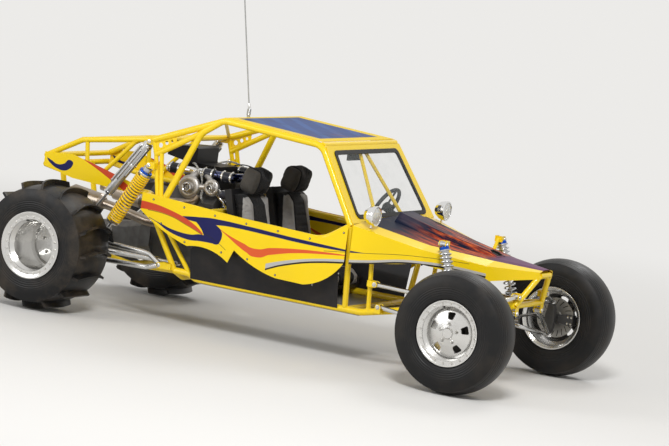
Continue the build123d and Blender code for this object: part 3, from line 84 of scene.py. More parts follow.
class Finish:
    """A procedural material; each method adds one shader node and gives its output."""

    def __init__(self, name):
        self.material = bpy.data.materials.new(name)
        self.material.use_nodes = True
        self.tree = self.material.node_tree
        self.shader = self.tree.nodes["Principled BSDF"]
        self.place = self.node("ShaderNodeTexCoord").outputs["Object"]

    def node(self, kind, **settings):
        made = self.tree.nodes.new(kind)
        for key, value in settings.items():
            setattr(made, key, value)
        return made

    def feed(self, socket, value):
        if isinstance(value, bpy.types.NodeSocket):
            self.tree.links.new(value, socket)
        else:
            socket.default_value = value

    def set(self, **sockets):
        for name, value in sockets.items():
            if isinstance(value, tuple) and len(value) == 3:
                value = (*value, 1.0)
            self.feed(self.shader.inputs[name.replace("_", " ")], value)
        return self

    def mapped(self, stretch=(1, 1, 1), turn=(0, 0, 0)):
        made = self.node("ShaderNodeMapping")
        self.feed(made.inputs["Vector"], self.place)
        made.inputs["Scale"].default_value = stretch
        made.inputs["Rotation"].default_value = turn
        return made.outputs["Vector"]

    def noise(self, scale, detail=3.0, rough=0.5, stretch=(1, 1, 1), turn=(0, 0, 0)):
        made = self.node("ShaderNodeTexNoise")
        self.feed(made.inputs["Vector"], self.mapped(stretch, turn))
        for key, value in (("Scale", scale), ("Detail", detail), ("Roughness", rough)):
            made.inputs[key].default_value = value
        return made.outputs["Fac"]

    def cells(self, scale, stretch=(1, 1, 1)):
        made = self.node("ShaderNodeTexVoronoi")
        self.feed(made.inputs["Vector"], self.mapped(stretch))
        made.inputs["Scale"].default_value = scale
        return made.outputs["Distance"]

    def waves(self, scale, axis="X", shift=0.0, turn=(0, 0, 0)):
        made = self.node("ShaderNodeTexWave", bands_direction=axis)
        self.feed(made.inputs["Vector"], self.mapped(turn=turn))
        made.inputs["Scale"].default_value = scale
        made.inputs["Distortion"].default_value = shift
        return made.outputs["Fac"]

    def axes(self):
        made = self.node("ShaderNodeSeparateXYZ")
        self.feed(made.inputs[0], self.place)
        return made.outputs[0], made.outputs[1], made.outputs[2]

    def math(self, operation, a, b=0.0, c=0.0, clamp=False):
        made = self.node("ShaderNodeMath", operation=operation, use_clamp=clamp)
        for socket, value in zip(made.inputs, (a, b, c)):
            self.feed(socket, value)
        return made.outputs[0]

    def times(self, a, b, clamp=False):
        return self.math("MULTIPLY", a, b, clamp=clamp)

    def plus(self, a, b):
        return self.math("ADD", a, b)

    def minus(self, a, b):
        return self.math("SUBTRACT", a, b)

    def absolute(self, a):
        return self.math("ABSOLUTE", a)

    def span(self, value, low, high, out_low=0.0, out_high=1.0, smooth=False):
        made = self.node("ShaderNodeMapRange", interpolation_type="SMOOTHSTEP" if smooth else "LINEAR")
        for socket, part in zip(made.inputs, (value, low, high, out_low, out_high)):
            self.feed(socket, part)
        return made.outputs[0]

    def mix(self, share, a, b):
        made = self.node("ShaderNodeMix", data_type="RGBA")
        self.feed(made.inputs[0], share)
        for socket, value in ((made.inputs[6], a), (made.inputs[7], b)):
            self.feed(socket, (*value, 1.0) if isinstance(value, tuple) and len(value) == 3 else value)
        return made.outputs[2]

    def shaded(self, colour, share):
        """The colour times a share."""
        made = self.node("ShaderNodeVectorMath", operation="SCALE")
        self.feed(made.inputs[0], colour)
        self.feed(made.inputs["Scale"], share)
        return made.outputs[0]

    def across(self, a, b):
        """Length of a line from its two parts: the square root of a a + b b."""
        return self.math("SQRT", self.plus(self.times(a, a), self.times(b, b)))

    def away(self, axle):
        """Distance from a wheel's axle line."""
        x, _, z = self.axes()
        return self.across(self.minus(x, float(axle[0])), self.minus(z, float(axle[2])))

    def bump(self, height, strength, depth, below=None):
        made = self.node("ShaderNodeBump")
        made.inputs["Strength"].default_value = strength
        made.inputs["Distance"].default_value = depth
        self.feed(made.inputs["Height"], height)
        if below is not None:
            self.feed(made.inputs["Normal"], below)
        return made.outputs["Normal"]

    def curve(self, x, points):
        """Height of a smooth line through (x, height) points, which the caller has scaled to 0..1."""
        made = self.node("ShaderNodeFloatCurve")
        line = made.mapping.curves[0]
        while len(line.points) < len(points):
            line.points.new(0.5, 0.5)
        for point, place in zip(line.points, points):
            point.location = place
        made.mapping.update()
        self.feed(made.inputs["Value"], x)
        return made.outputs[0]

    def band(self, x, z, lower, upper, soft=0.0012):
        """Share 0..1 of a stripe between two edges, each a few (x, z) points in metres."""
        xs = [p[0] for p in lower + upper]
        zs = [p[1] for p in lower + upper]
        x0, x1, z0, z1 = min(xs), max(xs), min(zs) - 0.01, max(zs) + 0.01
        along = self.span(x, x0, x1)
        marks = []
        for edge, sign in ((lower, 1.0), (upper, -1.0)):
            points = [((a - x0) / (x1 - x0), (b - z0) / (z1 - z0)) for a, b in edge]
            height = self.span(self.curve(along, points), 0.0, 1.0, z0, z1)
            marks.append(self.span(self.times(self.minus(z, height), sign), -soft, soft))
        inside = self.times(*marks)
        ends = self.times(self.span(x, x0, x0 + 0.002), self.span(x, x1, x1 - 0.002))
        return self.times(inside, ends, clamp=True)


def dusted(f, colour, low=0.30, high=0.95, most=0.10):
    """Thin sand film that thickens towards the ground, broken up by cloudy noise."""
    z = f.axes()[2]
    film = f.times(f.span(z, low, high, most, most * 0.12), f.span(f.noise(6.0, 5.0, 0.6), 0.35, 0.7))
    return f.mix(film, colour, SAND), film


def paint(name, colour, rough=0.25, coat=0.25, shine=0.3, sandy=0.06):
    """Clear-coated paint, faint orange peel and sand film; colour is RGB or a function of the finish."""
    f = Finish(name)
    base = colour(f) if callable(colour) else colour
    base, film = dusted(f, f.shaded(base, f.span(f.noise(2.2, 2.0), 0.3, 0.7, 1.0, 0.94)), most=sandy)
    peel = f.bump(f.noise(240.0, 2.0), 0.06, 0.0006)
    f.set(Base_Color=base, Roughness=f.plus(f.times(film, 1.6), rough), Normal=peel)
    f.set(Coat_Weight=coat, Coat_Roughness=0.06, Specular_IOR_Level=shine)
    return f.material


def metal(name, colour, rough=0.2, grain=(1, 1, 1), grain_scale=60.0, depth=0.15, smear=0.12):
    """Bare metal whose roughness and tone vary along its grain."""
    f = Finish(name)
    streak = f.noise(grain_scale, 4.0, 0.6, stretch=grain)
    blotch = f.noise(4.0, 4.0, 0.6)
    dark = tuple(c * 0.62 for c in colour)
    base = f.mix(f.span(blotch, 0.35, 0.75, 0.0, 0.55), colour, dark)
    f.set(Base_Color=base, Metallic=1.0, Roughness=f.span(blotch, 0.3, 0.7, rough, rough + smear),
          Normal=f.bump(streak, depth, 0.0008))
    return f.material


def charge_metal(name):
    """Polished pipe, silver behind the joint over the turbos and ink-blue in front of it."""
    f = Finish(name)
    ahead = f.span(f.axes()[0], -0.650, -0.646)
    f.set(Base_Color=f.mix(ahead, (0.80, 0.80, 0.80), (0.075, 0.085, 0.16)), Metallic=1.0,
          Roughness=f.span(f.noise(8.0), 0.3, 0.7, 0.07, 0.15), Normal=f.bump(f.noise(40.0), 0.05, 0.0006))
    return f.material


def wheel_metal(name, axle, disc_face):
    """Machined alloy: fine turning lines round the axle, and a dark brake disc and hub behind the wheel's
    face, with bare swept slots on the disc's inner side."""
    f = Finish(name)
    r = f.away(axle)
    x, y, z = f.axes()
    y = f.absolute(y)
    turn = f.math("ARCTAN2", f.minus(z, float(axle[2])), f.minus(x, float(axle[0])))
    sweep = f.math("SINE", f.plus(f.times(turn, 20.0), f.times(r, 80.0)))
    slots = f.times(f.span(r, 0.084, 0.086), f.span(r, 0.124, 0.122))
    slots = f.times(f.span(sweep, 0.80, 0.90), slots)
    inner = f.mix(slots, (0.36, 0.35, 0.33), (0.03, 0.03, 0.03))
    disc = f.mix(f.span(y, disc_face - 0.016, disc_face - 0.018), (0.10, 0.095, 0.09), inner)
    behind = f.times(f.span(y, disc_face + 0.001, disc_face), f.span(r, 0.1425, 0.1415))
    turning = f.noise(1.0, 3.0, 0.5)
    lines = f.math("SINE", f.times(r, 2 * math.pi / 0.0016))
    dirt = f.span(f.noise(6.0, 5.0, 0.65), 0.45, 0.8, 0.0, 0.22)
    bright = f.mix(dirt, (0.69, 0.685, 0.67), (0.38, 0.335, 0.28))
    f.set(Base_Color=f.mix(behind, bright, disc), Metallic=1.0,
          Roughness=f.plus(f.span(turning, 0.3, 0.7, 0.17, 0.26), f.times(behind, 0.22)),
          Normal=f.bump(lines, 0.05, 0.0004))
    return f.material


def cast(name, colour, rough=0.48):
    """Sand-cast alloy: pebbled skin, darker in cloudy patches."""
    f = Finish(name)
    pits = f.cells(420.0)
    grime = f.noise(5.0, 5.0, 0.62)
    base = f.mix(f.span(grime, 0.42, 0.78, 0.0, 0.7), colour, (0.05, 0.045, 0.04))
    f.set(Base_Color=base, Metallic=0.85, Roughness=f.span(grime, 0.3, 0.8, rough, rough + 0.25),
          Normal=f.bump(pits, 0.35, 0.0010))
    return f.material


def plastic(name, colour, rough=0.45, grain=500.0, coat=0.0, shine=0.25):
    """Moulded plastic or soft rubber with a fine grain and dusty patches."""
    f = Finish(name)
    lighter = tuple(c * 1.8 for c in colour)
    base, film = dusted(f, f.mix(f.span(f.noise(9.0), 0.3, 0.7, 0.0, 0.5), colour, lighter), most=0.05)
    f.set(Base_Color=base, Roughness=f.plus(f.times(film, 1.2), rough),
          Normal=f.bump(f.cells(grain), 0.2, 0.0005), Coat_Weight=coat, Coat_Roughness=0.1,
          Specular_IOR_Level=shine)
    return f.material


def raised(edge, by):
    """A stripe's edge moved up."""
    return [(x, z + by) for x, z in edge]


def striped(f, stripes):
    """Yellow under stripes laid on in order, each with its colour, lower edge and upper edge."""
    x, _, z = f.axes()
    base = YELLOW
    for colour, low, high in stripes:
        base = f.mix(f.band(x, z, low, high), base, colour)
    return base


def flank_colours(f):
    """Yellow flank: navy teardrop with its hook, red flash, orange boomerang, silver line, thin outlines."""
    silver = [(0.040, 0.520), (0.216, 0.586), (0.418, 0.634), (0.737, 0.679), (1.078, 0.726), (1.45, 0.700)]
    nose_line = [(0.450, 0.705), (0.737, 0.737), (1.078, 0.766), (1.350, 0.762)]
    head_line = [(-0.455, 0.668), (-0.400, 0.652), (-0.349, 0.630), (-0.268, 0.585)]
    flash_line = [(-0.895, 0.748), (-0.736, 0.738), (-0.590, 0.698), (-0.460, 0.654)]
    return striped(f, [
        # Silver line that runs on under the nose, with a dark edge below and a thin line above
        (BLACK, raised(silver, -0.012), silver),
        (SILVER, silver,
         [(0.040, 0.552), (0.216, 0.606), (0.418, 0.650), (0.737, 0.694), (1.078, 0.740), (1.45, 0.716)]),
        (BLACK, nose_line, raised(nose_line, 0.003)),
        # Orange boomerang
        (ORANGE,
         [(-0.330, 0.713), (-0.250, 0.668), (-0.181, 0.630), (-0.110, 0.598), (-0.051, 0.580), (0.060, 0.612),
          (0.268, 0.660), (0.501, 0.690), (0.640, 0.704)],
         [(-0.330, 0.716), (-0.249, 0.684), (-0.137, 0.652), (-0.058, 0.634), (0.060, 0.658), (0.250, 0.684),
          (0.499, 0.703), (0.640, 0.708)]),
        # Navy line along the belt, thin at both ends
        (NAVY,
         [(-0.625, 0.749), (-0.517, 0.731), (-0.400, 0.733), (-0.258, 0.742), (0.046, 0.735), (0.273, 0.727),
          (0.497, 0.726), (0.729, 0.736)],
         [(-0.625, 0.752), (-0.500, 0.766), (-0.370, 0.775), (-0.109, 0.768), (0.194, 0.754), (0.418, 0.747),
          (0.729, 0.738)]),
        # Its round head, hooked down and back
        (NAVY,
         [(-0.520, 0.735), (-0.470, 0.690), (-0.440, 0.650), (-0.400, 0.625), (-0.338, 0.612),
          (-0.316, 0.640), (-0.308, 0.672)],
         [(-0.520, 0.745), (-0.460, 0.755), (-0.385, 0.742), (-0.338, 0.722), (-0.316, 0.700),
          (-0.308, 0.678)]),
        # The tail that runs back from the head
        (NAVY,
         [(-0.880, 0.700), (-0.821, 0.682), (-0.720, 0.637), (-0.620, 0.613), (-0.545, 0.606),
          (-0.470, 0.612), (-0.338, 0.612)],
         [(-0.880, 0.705), (-0.773, 0.674), (-0.676, 0.651), (-0.550, 0.643), (-0.470, 0.656),
          (-0.338, 0.640)]),
        # Red flash from the rear edge to the head
        (RED,
         [(-1.020, 0.742), (-0.895, 0.752), (-0.736, 0.742), (-0.590, 0.702), (-0.455, 0.656)],
         [(-1.020, 0.800), (-0.885, 0.800), (-0.725, 0.776), (-0.563, 0.728), (-0.455, 0.664)]),
        # Thin dark outlines off the head and under the flash
        (BLACK, head_line, raised(head_line, 0.0035)),
        (BLACK, flash_line, raised(flash_line, 0.0035)),
    ])


def tail_colours(f):
    """Yellow tail sheet with a red slash and a navy comma at its end."""
    return striped(f, [
        (RED,
         [(-1.520, 0.985), (-1.380, 0.925), (-1.250, 0.862), (-1.130, 0.800)],
         [(-1.520, 1.002), (-1.380, 0.972), (-1.250, 0.918), (-1.130, 0.858)]),
        (NAVY,
         [(-1.800, 0.948), (-1.770, 0.918), (-1.710, 0.890), (-1.655, 0.884), (-1.615, 0.902),
          (-1.590, 0.940)],
         [(-1.800, 0.953), (-1.760, 0.938), (-1.710, 0.920), (-1.660, 0.932), (-1.625, 0.962),
          (-1.590, 0.948)]),
    ])


def roof_colours(f):
    """Blue centre in a yellow border: slanting lighter bars, dark clouds and a warm haze at the front."""
    x, y, _ = f.axes()
    wide = f.math("LESS_THAN", f.absolute(y), 0.405)
    long = f.times(f.math("GREATER_THAN", x, -0.385), f.math("LESS_THAN", x, 0.225))
    bars = f.span(f.waves(2.6, "DIAGONAL", 1.5), 0.72, 0.78)
    centre = f.mix(f.times(bars, 0.7), BLUE, (0.030, 0.105, 0.34))
    clouds = f.span(f.noise(7.0, 5.0, 0.6, stretch=(0.6, 1.6, 1.0)), 0.50, 0.72, 0.0, 0.55)
    warm = f.times(f.span(x, -0.05, 0.20, 0.0, 1.0, True), f.span(f.noise(9.0, 4.0), 0.5, 0.68, 0.0, 0.5))
    centre = f.mix(clouds, centre, (0.012, 0.018, 0.055))
    centre = f.mix(warm, centre, (0.16, 0.045, 0.035))
    return f.mix(f.times(wide, long), YELLOW, centre)


def hood_colours(f):
    """Ink-blue hood: combed orange and red streaks, grey-purple on the spine, purple at the nose's tip."""
    x, y, _ = f.axes()
    streaks = f.noise(8.0, 5.0, 0.58, stretch=(0.5, 5.5, 2.0))
    fade = f.times(f.span(x, 0.76, 1.12, 0.0, 1.0, True), f.span(x, 1.44, 1.38))
    share = f.times(fade, f.span(streaks, 0.42, 0.58), clamp=True)
    warm = f.mix(f.span(f.noise(20.0, 4.0, 0.6, stretch=(0.6, 4.0, 1.0)), 0.4, 0.62), (0.36, 0.035, 0.014),
                 (0.76, 0.165, 0.045))
    spine = f.times(f.span(f.absolute(y), 0.150, 0.135), f.span(x, 0.70, 0.74))
    spine = f.times(spine, f.span(f.noise(11.0, 4.0, 0.6, stretch=(0.5, 3.0, 1.0)), 0.35, 0.7, 0.25, 0.9))
    base = f.mix(f.times(spine, f.span(x, 0.98, 0.80)), INK, (0.085, 0.070, 0.095))
    base = f.mix(share, base, warm)
    haze = f.times(f.span(x, 1.38, 1.46, 0.0, 1.0, True), f.span(f.noise(14.0, 4.0), 0.25, 0.75, 0.6, 1.0))
    return f.mix(haze, base, PURPLE)


def glass(name, tint, alpha):
    """Thin clear sheet: mostly see-through, with its own reflection and faint dust."""
    f = Finish(name)
    dust = f.span(f.noise(7.0, 6.0, 0.65), 0.45, 0.8, 0.0, 0.08)
    f.set(Base_Color=tint, Roughness=0.03, Alpha=f.plus(dust, alpha), Specular_IOR_Level=0.3)
    return f.material


def cloth(name, centre, side, split_low, split_high, depth, rough=0.85):
    """Woven cover: crossed threads, and lighter sides from the bolster's seam, which leans in upwards, back
    to a depth behind the seat back's leaning face. On the seats the lighter sides are the bolsters' grey
    cloth;
    on the headrests the lighter ends are painted light, the lit look of the end that faces the light."""
    f = Finish(name)
    x, y, z = f.axes()
    off = f.absolute(f.minus(f.absolute(y), SEAT_Y))
    inner = f.minus(off, f.span(z, *BOLSTER_HEIGHTS, split_low, split_high))
    behind = f.minus(f.span(z, 0.478, 0.930, -0.135, -0.255), x)
    taper = f.span(z, 0.70, 0.94, depth, 0.012) if depth < 0.1 else depth
    share = f.times(f.span(inner, -0.002, 0.002), f.span(f.minus(taper, behind), -0.002, 0.002))
    # Lighter sides: the seats' grey bolster cloth; on the headrests, painted light standing for the lit end
    base = f.mix(share, centre, side)
    base = f.mix(f.span(f.noise(14.0, 5.0, 0.6), 0.4, 0.75, 0.0, 0.35), base, tuple(c * 0.5 for c in centre))
    base = f.mix(f.span(f.noise(5.0, 4.0), 0.55, 0.8, 0.0, 0.06), base, SAND)
    weave = f.plus(f.waves(330.0, "Y"), f.waves(330.0, "Z"))
    f.set(Base_Color=base, Roughness=rough, Normal=f.bump(weave, 0.35, 0.0012))
    f.set(Sheen_Weight=0.06, Sheen_Roughness=0.5, Specular_IOR_Level=0.2)
    return f.material


def tyre_rubber(name, axle, grooves, sandy):
    """Black rubber: fine rings up the sidewall, thin grooves round the tread at given distances from its
    middle, scuffed skin, and sand held on the tread."""
    f = Finish(name)
    y = f.axes()[1]
    r = f.away(axle)
    off = f.absolute(f.minus(f.absolute(y), float(axle[1])))
    rings = f.times(f.math("SINE", f.times(r, 2 * math.pi / 0.014)),
                   f.times(f.span(r, 0.225, 0.235), f.span(r, 0.300, 0.285)))
    height = f.times(rings, 0.5)
    for place in grooves:
        cut = f.span(f.absolute(f.minus(off, place)), 0.0010, 0.0040, 1.0, 0.0, True)
        height = f.minus(height, f.times(cut, 5.0))
    cloud = f.noise(5.0, 6.0, 0.62)
    grains = f.noise(260.0, 2.0, 0.7)
    sand = f.times(f.span(cloud, 0.44, 0.74, 0.0, 1.0), f.span(r, 0.22, float(axle[2]), sandy * 0.3, sandy))
    sand = f.times(sand, f.span(grains, 0.35, 0.6, 0.55, 1.0))
    f.set(Base_Color=f.mix(sand, (0.0050, 0.0050, 0.0055), SAND),
          Roughness=f.span(cloud, 0.3, 0.7, 0.34, 0.52),
          Normal=f.bump(f.noise(150.0, 4.0, 0.6), 0.18, 0.001, f.bump(height, 0.8, 0.0022)))
    f.set(Specular_IOR_Level=0.3)
    return f.material


def fluted_glass(name):
    """Lamp lens: clear, with upright flutes."""
    f = Finish(name)
    flutes = f.waves(75.0, "Y")
    f.set(Base_Color=(0.90, 0.92, 0.92), Roughness=0.05, Alpha=f.span(flutes, 0.0, 1.0, 0.30, 0.48),
          Normal=f.bump(flutes, 0.5, 0.0015), Coat_Weight=0.6, Coat_Roughness=0.02)
    return f.material


def braided(name):
    """Steel-braided line: two crossed sets of fine strands."""
    f = Finish(name)
    strands = f.plus(f.waves(260.0, "DIAGONAL"), f.waves(260.0, "DIAGONAL", 0.0, (0.0, 1.5708, 0.0)))
    f.set(Base_Color=f.mix(f.span(strands, 0.4, 1.4), (0.16, 0.16, 0.16), (0.62, 0.62, 0.60)), Metallic=1.0,
          Roughness=0.36, Normal=f.bump(strands, 0.6, 0.0012))
    return f.material


FINISH = {
    "yellow": paint("yellow frame paint", YELLOW),
    "flank": paint("flank paint", flank_colours, 0.28, 0.12, 0.2, 0.03),
    "tail": paint("tail paint", tail_colours, 0.28, 0.12, 0.2, 0.03),
    "roof": paint("roof paint", roof_colours, 0.38, 0.0, 0.06, 0.0),
    "hood": paint("hood paint", hood_colours, 0.38, 0.0, 0.06, 0.0),
    "black": paint("black panel paint", BLACK, 0.4, 0.1, 0.2, 0.03),
    "belly": metal("belly sheet", (0.50, 0.50, 0.49), 0.32, (1, 12, 1)),
    "seal": plastic("seal rubber", (0.012, 0.012, 0.012), 0.5),
    "screen": glass("screen glass", (0.45, 0.49, 0.49), 0.08),
    "shell": plastic("seat shell", (0.010, 0.010, 0.011), 0.45, 260.0, 0.05),
    "steel": metal("plain steel", (0.46, 0.45, 0.44), 0.34),
    "plated": metal("plated tube", (0.74, 0.74, 0.73), 0.14, (1, 1, 1), 30.0, 0.05),
    "damper": metal("damper body", (0.55, 0.55, 0.55), 0.27, (1, 9, 1), 80.0),
    "spring_silver": metal("front spring steel", (0.66, 0.67, 0.68), 0.2),
    "spring_yellow": paint("rear spring coat", (0.96, 0.62, 0.006), 0.3, 0.2),
    "blue": metal("blue anodised cap", (0.02, 0.10, 0.55), 0.2),
    "cast": cast("cast engine alloy", (0.13, 0.13, 0.13)),
    "turbo": metal("turbo housing", (0.52, 0.50, 0.48), 0.26, (1, 1, 1), 120.0, 0.3, 0.3),
    "polished": metal("polished pipe", (0.80, 0.80, 0.80), 0.08, (1, 1, 1), 30.0, 0.04, 0.06),
    "charge_pipe": charge_metal("charge pipe"),
    "air_box": plastic("air box", (0.006, 0.006, 0.007), 0.42, 350.0, 0.05, 0.15),
    "exhaust": metal("heat-tinted steel", (0.42, 0.36, 0.30), 0.3, (1, 5, 5), 20.0),
    "gearbox": cast("cast gearbox alloy", (0.20, 0.20, 0.20)),
    "lamp": metal("lamp chrome", (0.86, 0.86, 0.86), 0.06, (1, 1, 1), 20.0, 0.02, 0.05),
    "rubber": plastic("black rubber", (0.014, 0.014, 0.014), 0.6),
    "grip": plastic("wheel grip", (0.016, 0.016, 0.018), 0.55, 300.0),
    "whip": plastic("whip fibre", (0.30, 0.30, 0.29), 0.4),
    "knuckle": cast("knuckle steel", (0.10, 0.10, 0.10), 0.4),
    "front_rim": wheel_metal("front rim", FRONT_AXLE, 0.757),
    "rear_rim": wheel_metal("rear rim", REAR_AXLE, 0.662),
    "seat": cloth("seat cloth", (0.010, 0.010, 0.011), (0.38, 0.37, 0.36), *BOLSTER_EDGE, 0.050),
    # Headrest: black middle, with ends painted a lighter warm grey, which is painted light for the lit end
    "headrest": cloth("headrest cloth", (0.007, 0.007, 0.008), (0.060, 0.055, 0.048), 0.072, 0.072, 9.0),
    "zinc": metal("plated bolts", (0.68, 0.67, 0.64), 0.2, (1, 1, 1), 200.0, 0.2),
    "vent": plastic("vent mesh", (0.004, 0.004, 0.004), 0.5, 900.0, 0.0, 0.1),
    "dark_bolt": plastic("dark fastener", (0.02, 0.02, 0.022), 0.35, 500.0, 0.3),
    "lamp_glass": fluted_glass("lamp glass"),
    "hose": plastic("silicone hose", (0.009, 0.011, 0.020), 0.3, 500.0, 0.3),
    "braid": braided("braided line"),
    "front_tyre": tyre_rubber("front tyre rubber", FRONT_AXLE, (0.055, 0.070, 0.088), 0.05),
    "rear_tyre": tyre_rubber("rear tyre rubber", REAR_AXLE, (), 0.16),
}

NODE_FINISH = {
    "yellow": ["rail_gussets", "cage_hoops", "roll_cage", "body_frame", "lower_frame", "engine_bay_frame",
               "tail_frame", "suspension_tabs", "windscreen_surround"],
    "flank": ["side_panels", "nose_side_panels"],
    "tail": ["tail_panels"],
    "roof": ["roof_panel"],
    "hood": ["hood_panel"],
    "black": ["engine_side_skins", "dash_panel", "steering_column"],
    "belly": ["floor_pan"],
    "seal": ["windscreen_seal"],
    "screen": ["windscreen_glass"],
    "shell": ["seat_shells"],
    "steel": ["seat_runners", "steering_rack"],
    "plated": ["front_arms", "rear_trailing_arms", "tie_rod_left", "tie_rod_right"],
    "damper": ["front_shocks", "rear_dampers"],
    "spring_silver": ["front_springs"],
    "spring_yellow": ["rear_springs"],
    "cast": ["engine_block", "valve_covers"],
    "turbo": ["turbochargers"],
    "charge_pipe": ["charge_pipes"],
    "air_box": ["air_box"],
    "exhaust": ["exhaust"],
    "gearbox": ["transaxle"],
    "lamp": ["headlamps"],
    "rubber": ["mirror", "rack_bar"],
    "grip": ["steering_wheel"],
    "whip": ["whip"],
    "knuckle": ["knuckle_left", "knuckle_right"],
    "front_tyre": ["front_tyre_left", "front_tyre_right"],
    "rear_tyre": ["rear_tyre_left", "rear_tyre_right"],
    "front_rim": ["front_rim_left", "front_rim_right"],
    "rear_rim": ["rear_rim_left", "rear_rim_right"],
    "seat": ["seat_cushions"],
    "headrest": ["headrests"],
}


def finish_nodes():
    """Gives each node its finish."""
    for finish, names in NODE_FINISH.items():
        for name in names:
            for material_slot in NODES[name].material_slots:
                material_slot.material = FINISH[finish]


# Surfaces: every piece is an array of points on a grid of two parameters

def grid_faces(rows, columns, copies, closed_rows, closed_columns):
    """Corner numbers of the quads of each copy's grid; a closed way joins its last line to its first."""
    r = np.arange(rows if closed_rows else rows - 1)
    c = np.arange(columns if closed_columns else columns - 1)
    r, c = np.meshgrid(r, c, indexing="ij")
    r1, c1 = (r + 1) % rows, (c + 1) % columns
    here, there = r * columns, r1 * columns
    one = np.stack([here + c, here + c1, there + c1, there + c], axis=-1).reshape(-1, 4)
    return (one[None] + (np.arange(copies) * rows * columns)[:, None, None]).reshape(-1, 4)


def surface(name, points, finish, body="chassis", closed=(False, True), stands_for=()):
    """Mesh from points of shape (copies, rows, columns, 3), with seams merged and faces turned outwards."""
    if points.ndim == 3:
        points = points[None]
    copies, rows, columns, _ = points.shape
    faces = grid_faces(rows, columns, copies, *closed)
    mesh = bpy.data.meshes.new(name)
    mesh.from_pydata(points.reshape(-1, 3), [], faces)
    made = bpy.data.objects.new(name, mesh)
    bpy.context.scene.collection.objects.link(made)
    tidy_mesh(mesh)
    dress(made, finish, body, stands_for)
    return made


def tidy_mesh(mesh, near=1e-6):
    """Merges doubled points, drops faces with no area, and turns all faces outwards."""
    work = bmesh.new()
    work.from_mesh(mesh)
    bmesh.ops.remove_doubles(work, verts=work.verts, dist=near)
    bmesh.ops.dissolve_degenerate(work, edges=work.edges, dist=near)
    bmesh.ops.recalc_face_normals(work, faces=work.faces)
    work.to_mesh(mesh)
    work.free()
    mesh.shade_smooth()
    mesh.set_sharp_from_angle(angle=math.radians(38))


def dress(made, finish, body, stands_for=()):
    """Finish and body of the piece, and hides the CAD nodes that it stands for."""
    made.data.materials.clear()
    made.data.materials.append(FINISH[finish])
    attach(made, body)
    if stands_for:
        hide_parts(*stands_for)


def unit(vectors):
    """Each vector divided by its length."""
    return vectors / np.linalg.norm(vectors, axis=-1, keepdims=True)


def sides_of(axis):
    """Two directions square to each axis and to each other."""
    axis = unit(np.atleast_2d(np.asarray(axis, float)))
    helper = np.where(np.abs(axis[:, 2:3]) < 0.9, np.array([[0.0, 0.0, 1.0]]), np.array([[1.0, 0.0, 0.0]]))
    first = unit(np.cross(axis, helper))
    return axis, first, np.cross(axis, first)


def angles(count):
    """Angles evenly round a circle."""
    return np.linspace(0, 2 * math.pi, count, endpoint=False)


def circle(angle, u, v):
    """cos(a) u + sin(a) v for each angle a, and for each row of u and v."""
    u, v = (np.asarray(d)[..., None, :] for d in (u, v))
    return np.cos(angle)[:, None] * u + np.sin(angle)[:, None] * v


def turned(profile, places, axes, sides=24):
    """Profile of (radius, height) rows turned round each axis: place + r (cos a u + sin a v) + h axis."""
    places = np.atleast_2d(np.asarray(places, float))
    axis, u, v = (np.broadcast_to(d, places.shape) for d in sides_of(axes))
    r, h = np.asarray(profile, float).T[:, None, :, None, None]
    return places[:, None, None] + r * circle(angles(sides), u, v)[:, None] + h * axis[:, None, None]


def swept(line, n, b, radius, sides):
    """Round bar along a line: point + r (cos a n + sin a b), drawn in to a point at both ends."""
    ends = [0, *range(len(line)), len(line) - 1]
    r = np.full(len(ends), radius)
    r[0] = r[-1] = 0.0
    return line[ends][:, None] + r[:, None, None] * circle(angles(sides), n[ends], b[ends])


def tube(path, radius, sides=12, up=(0.0, 0.0, 1.0)):
    """Round tube along a line of points, its rings square to the line."""
    forward = unit(np.gradient(path, axis=0))
    n = unit(np.cross(forward, np.asarray(up, float)))
    return swept(path, n, np.cross(forward, n), radius, sides)


def flowing(points, count=40):
    """Smooth line through a few points: Catmull-Rom blend of each four neighbours."""
    p = np.asarray(points, float)
    p = np.vstack([2 * p[0] - p[1], p, 2 * p[-1] - p[-2]])
    t = np.linspace(0, len(p) - 3 - 1e-9, count)
    k = t.astype(int)
    f = (t - k)[:, None]
    a, b, c, d = p[k], p[k + 1], p[k + 2], p[k + 3]
    square, cube = 2 * a - 5 * b + 4 * c - d, 3 * b - a - 3 * c + d
    return 0.5 * (2 * b + (c - a) * f + square * f ** 2 + cube * f ** 3)


def with_twins(copies):
    """Left places or pieces, followed by their twins on the right."""
    return np.concatenate([copies, copies * TWIN])


def both(points):
    """The points and their twin on the right, as two copies."""
    return with_twins(points[None])


def coil(top, low, start, finish, turns, radius, wire, flat=0.8):
    """Helix round the line from top to low; its pitch closes up at both ends, where it lies flat."""
    axis, u, v = (d[0] for d in sides_of(low - top))
    s = np.linspace(0.0, 1.0, int(turns * 26))
    eased = s - np.sin(2 * math.pi * s) / (2 * math.pi) * (1 - flat)
    outward = circle(2 * math.pi * turns * s, u, v)
    reach = start + wire + (finish - start - 2 * wire) * eased
    line = top + reach[:, None] * axis + radius * outward
    across = np.cross(unit(np.gradient(line, axis=0)), outward)
    return swept(line, outward, across, wire, 9)


def springs():
    """Open coils in place of the sleeves, fourteen turns in front and twenty behind."""
    # End, line from top to low, first and last distance along it, turns, coil's radius, wire's radius, finish
    rows = [
        ("front", SHOCK_TOP, SHOCK_LOW, 0.046, 0.454, 14, 0.037, 0.0050, "spring_silver"),
        ("rear", COIL_TOP, COIL_LOW, 0.078, 0.469, 20, 0.0435, 0.0060, "spring_yellow"),
    ]
    for end, *shape, finish in rows:
        surface(end + "_coils", both(coil(*shape)), finish,
                stands_for=[end + "_springs"])


def damper_rings(name, profile, top, low, distances, sides, finish):
    """Rings on a damper at distances down from its top, left and right."""
    places = top + np.array(distances)[:, None] * unit(low - top)
    surface(name, with_twins(turned(profile, places, low - top, sides)), finish)


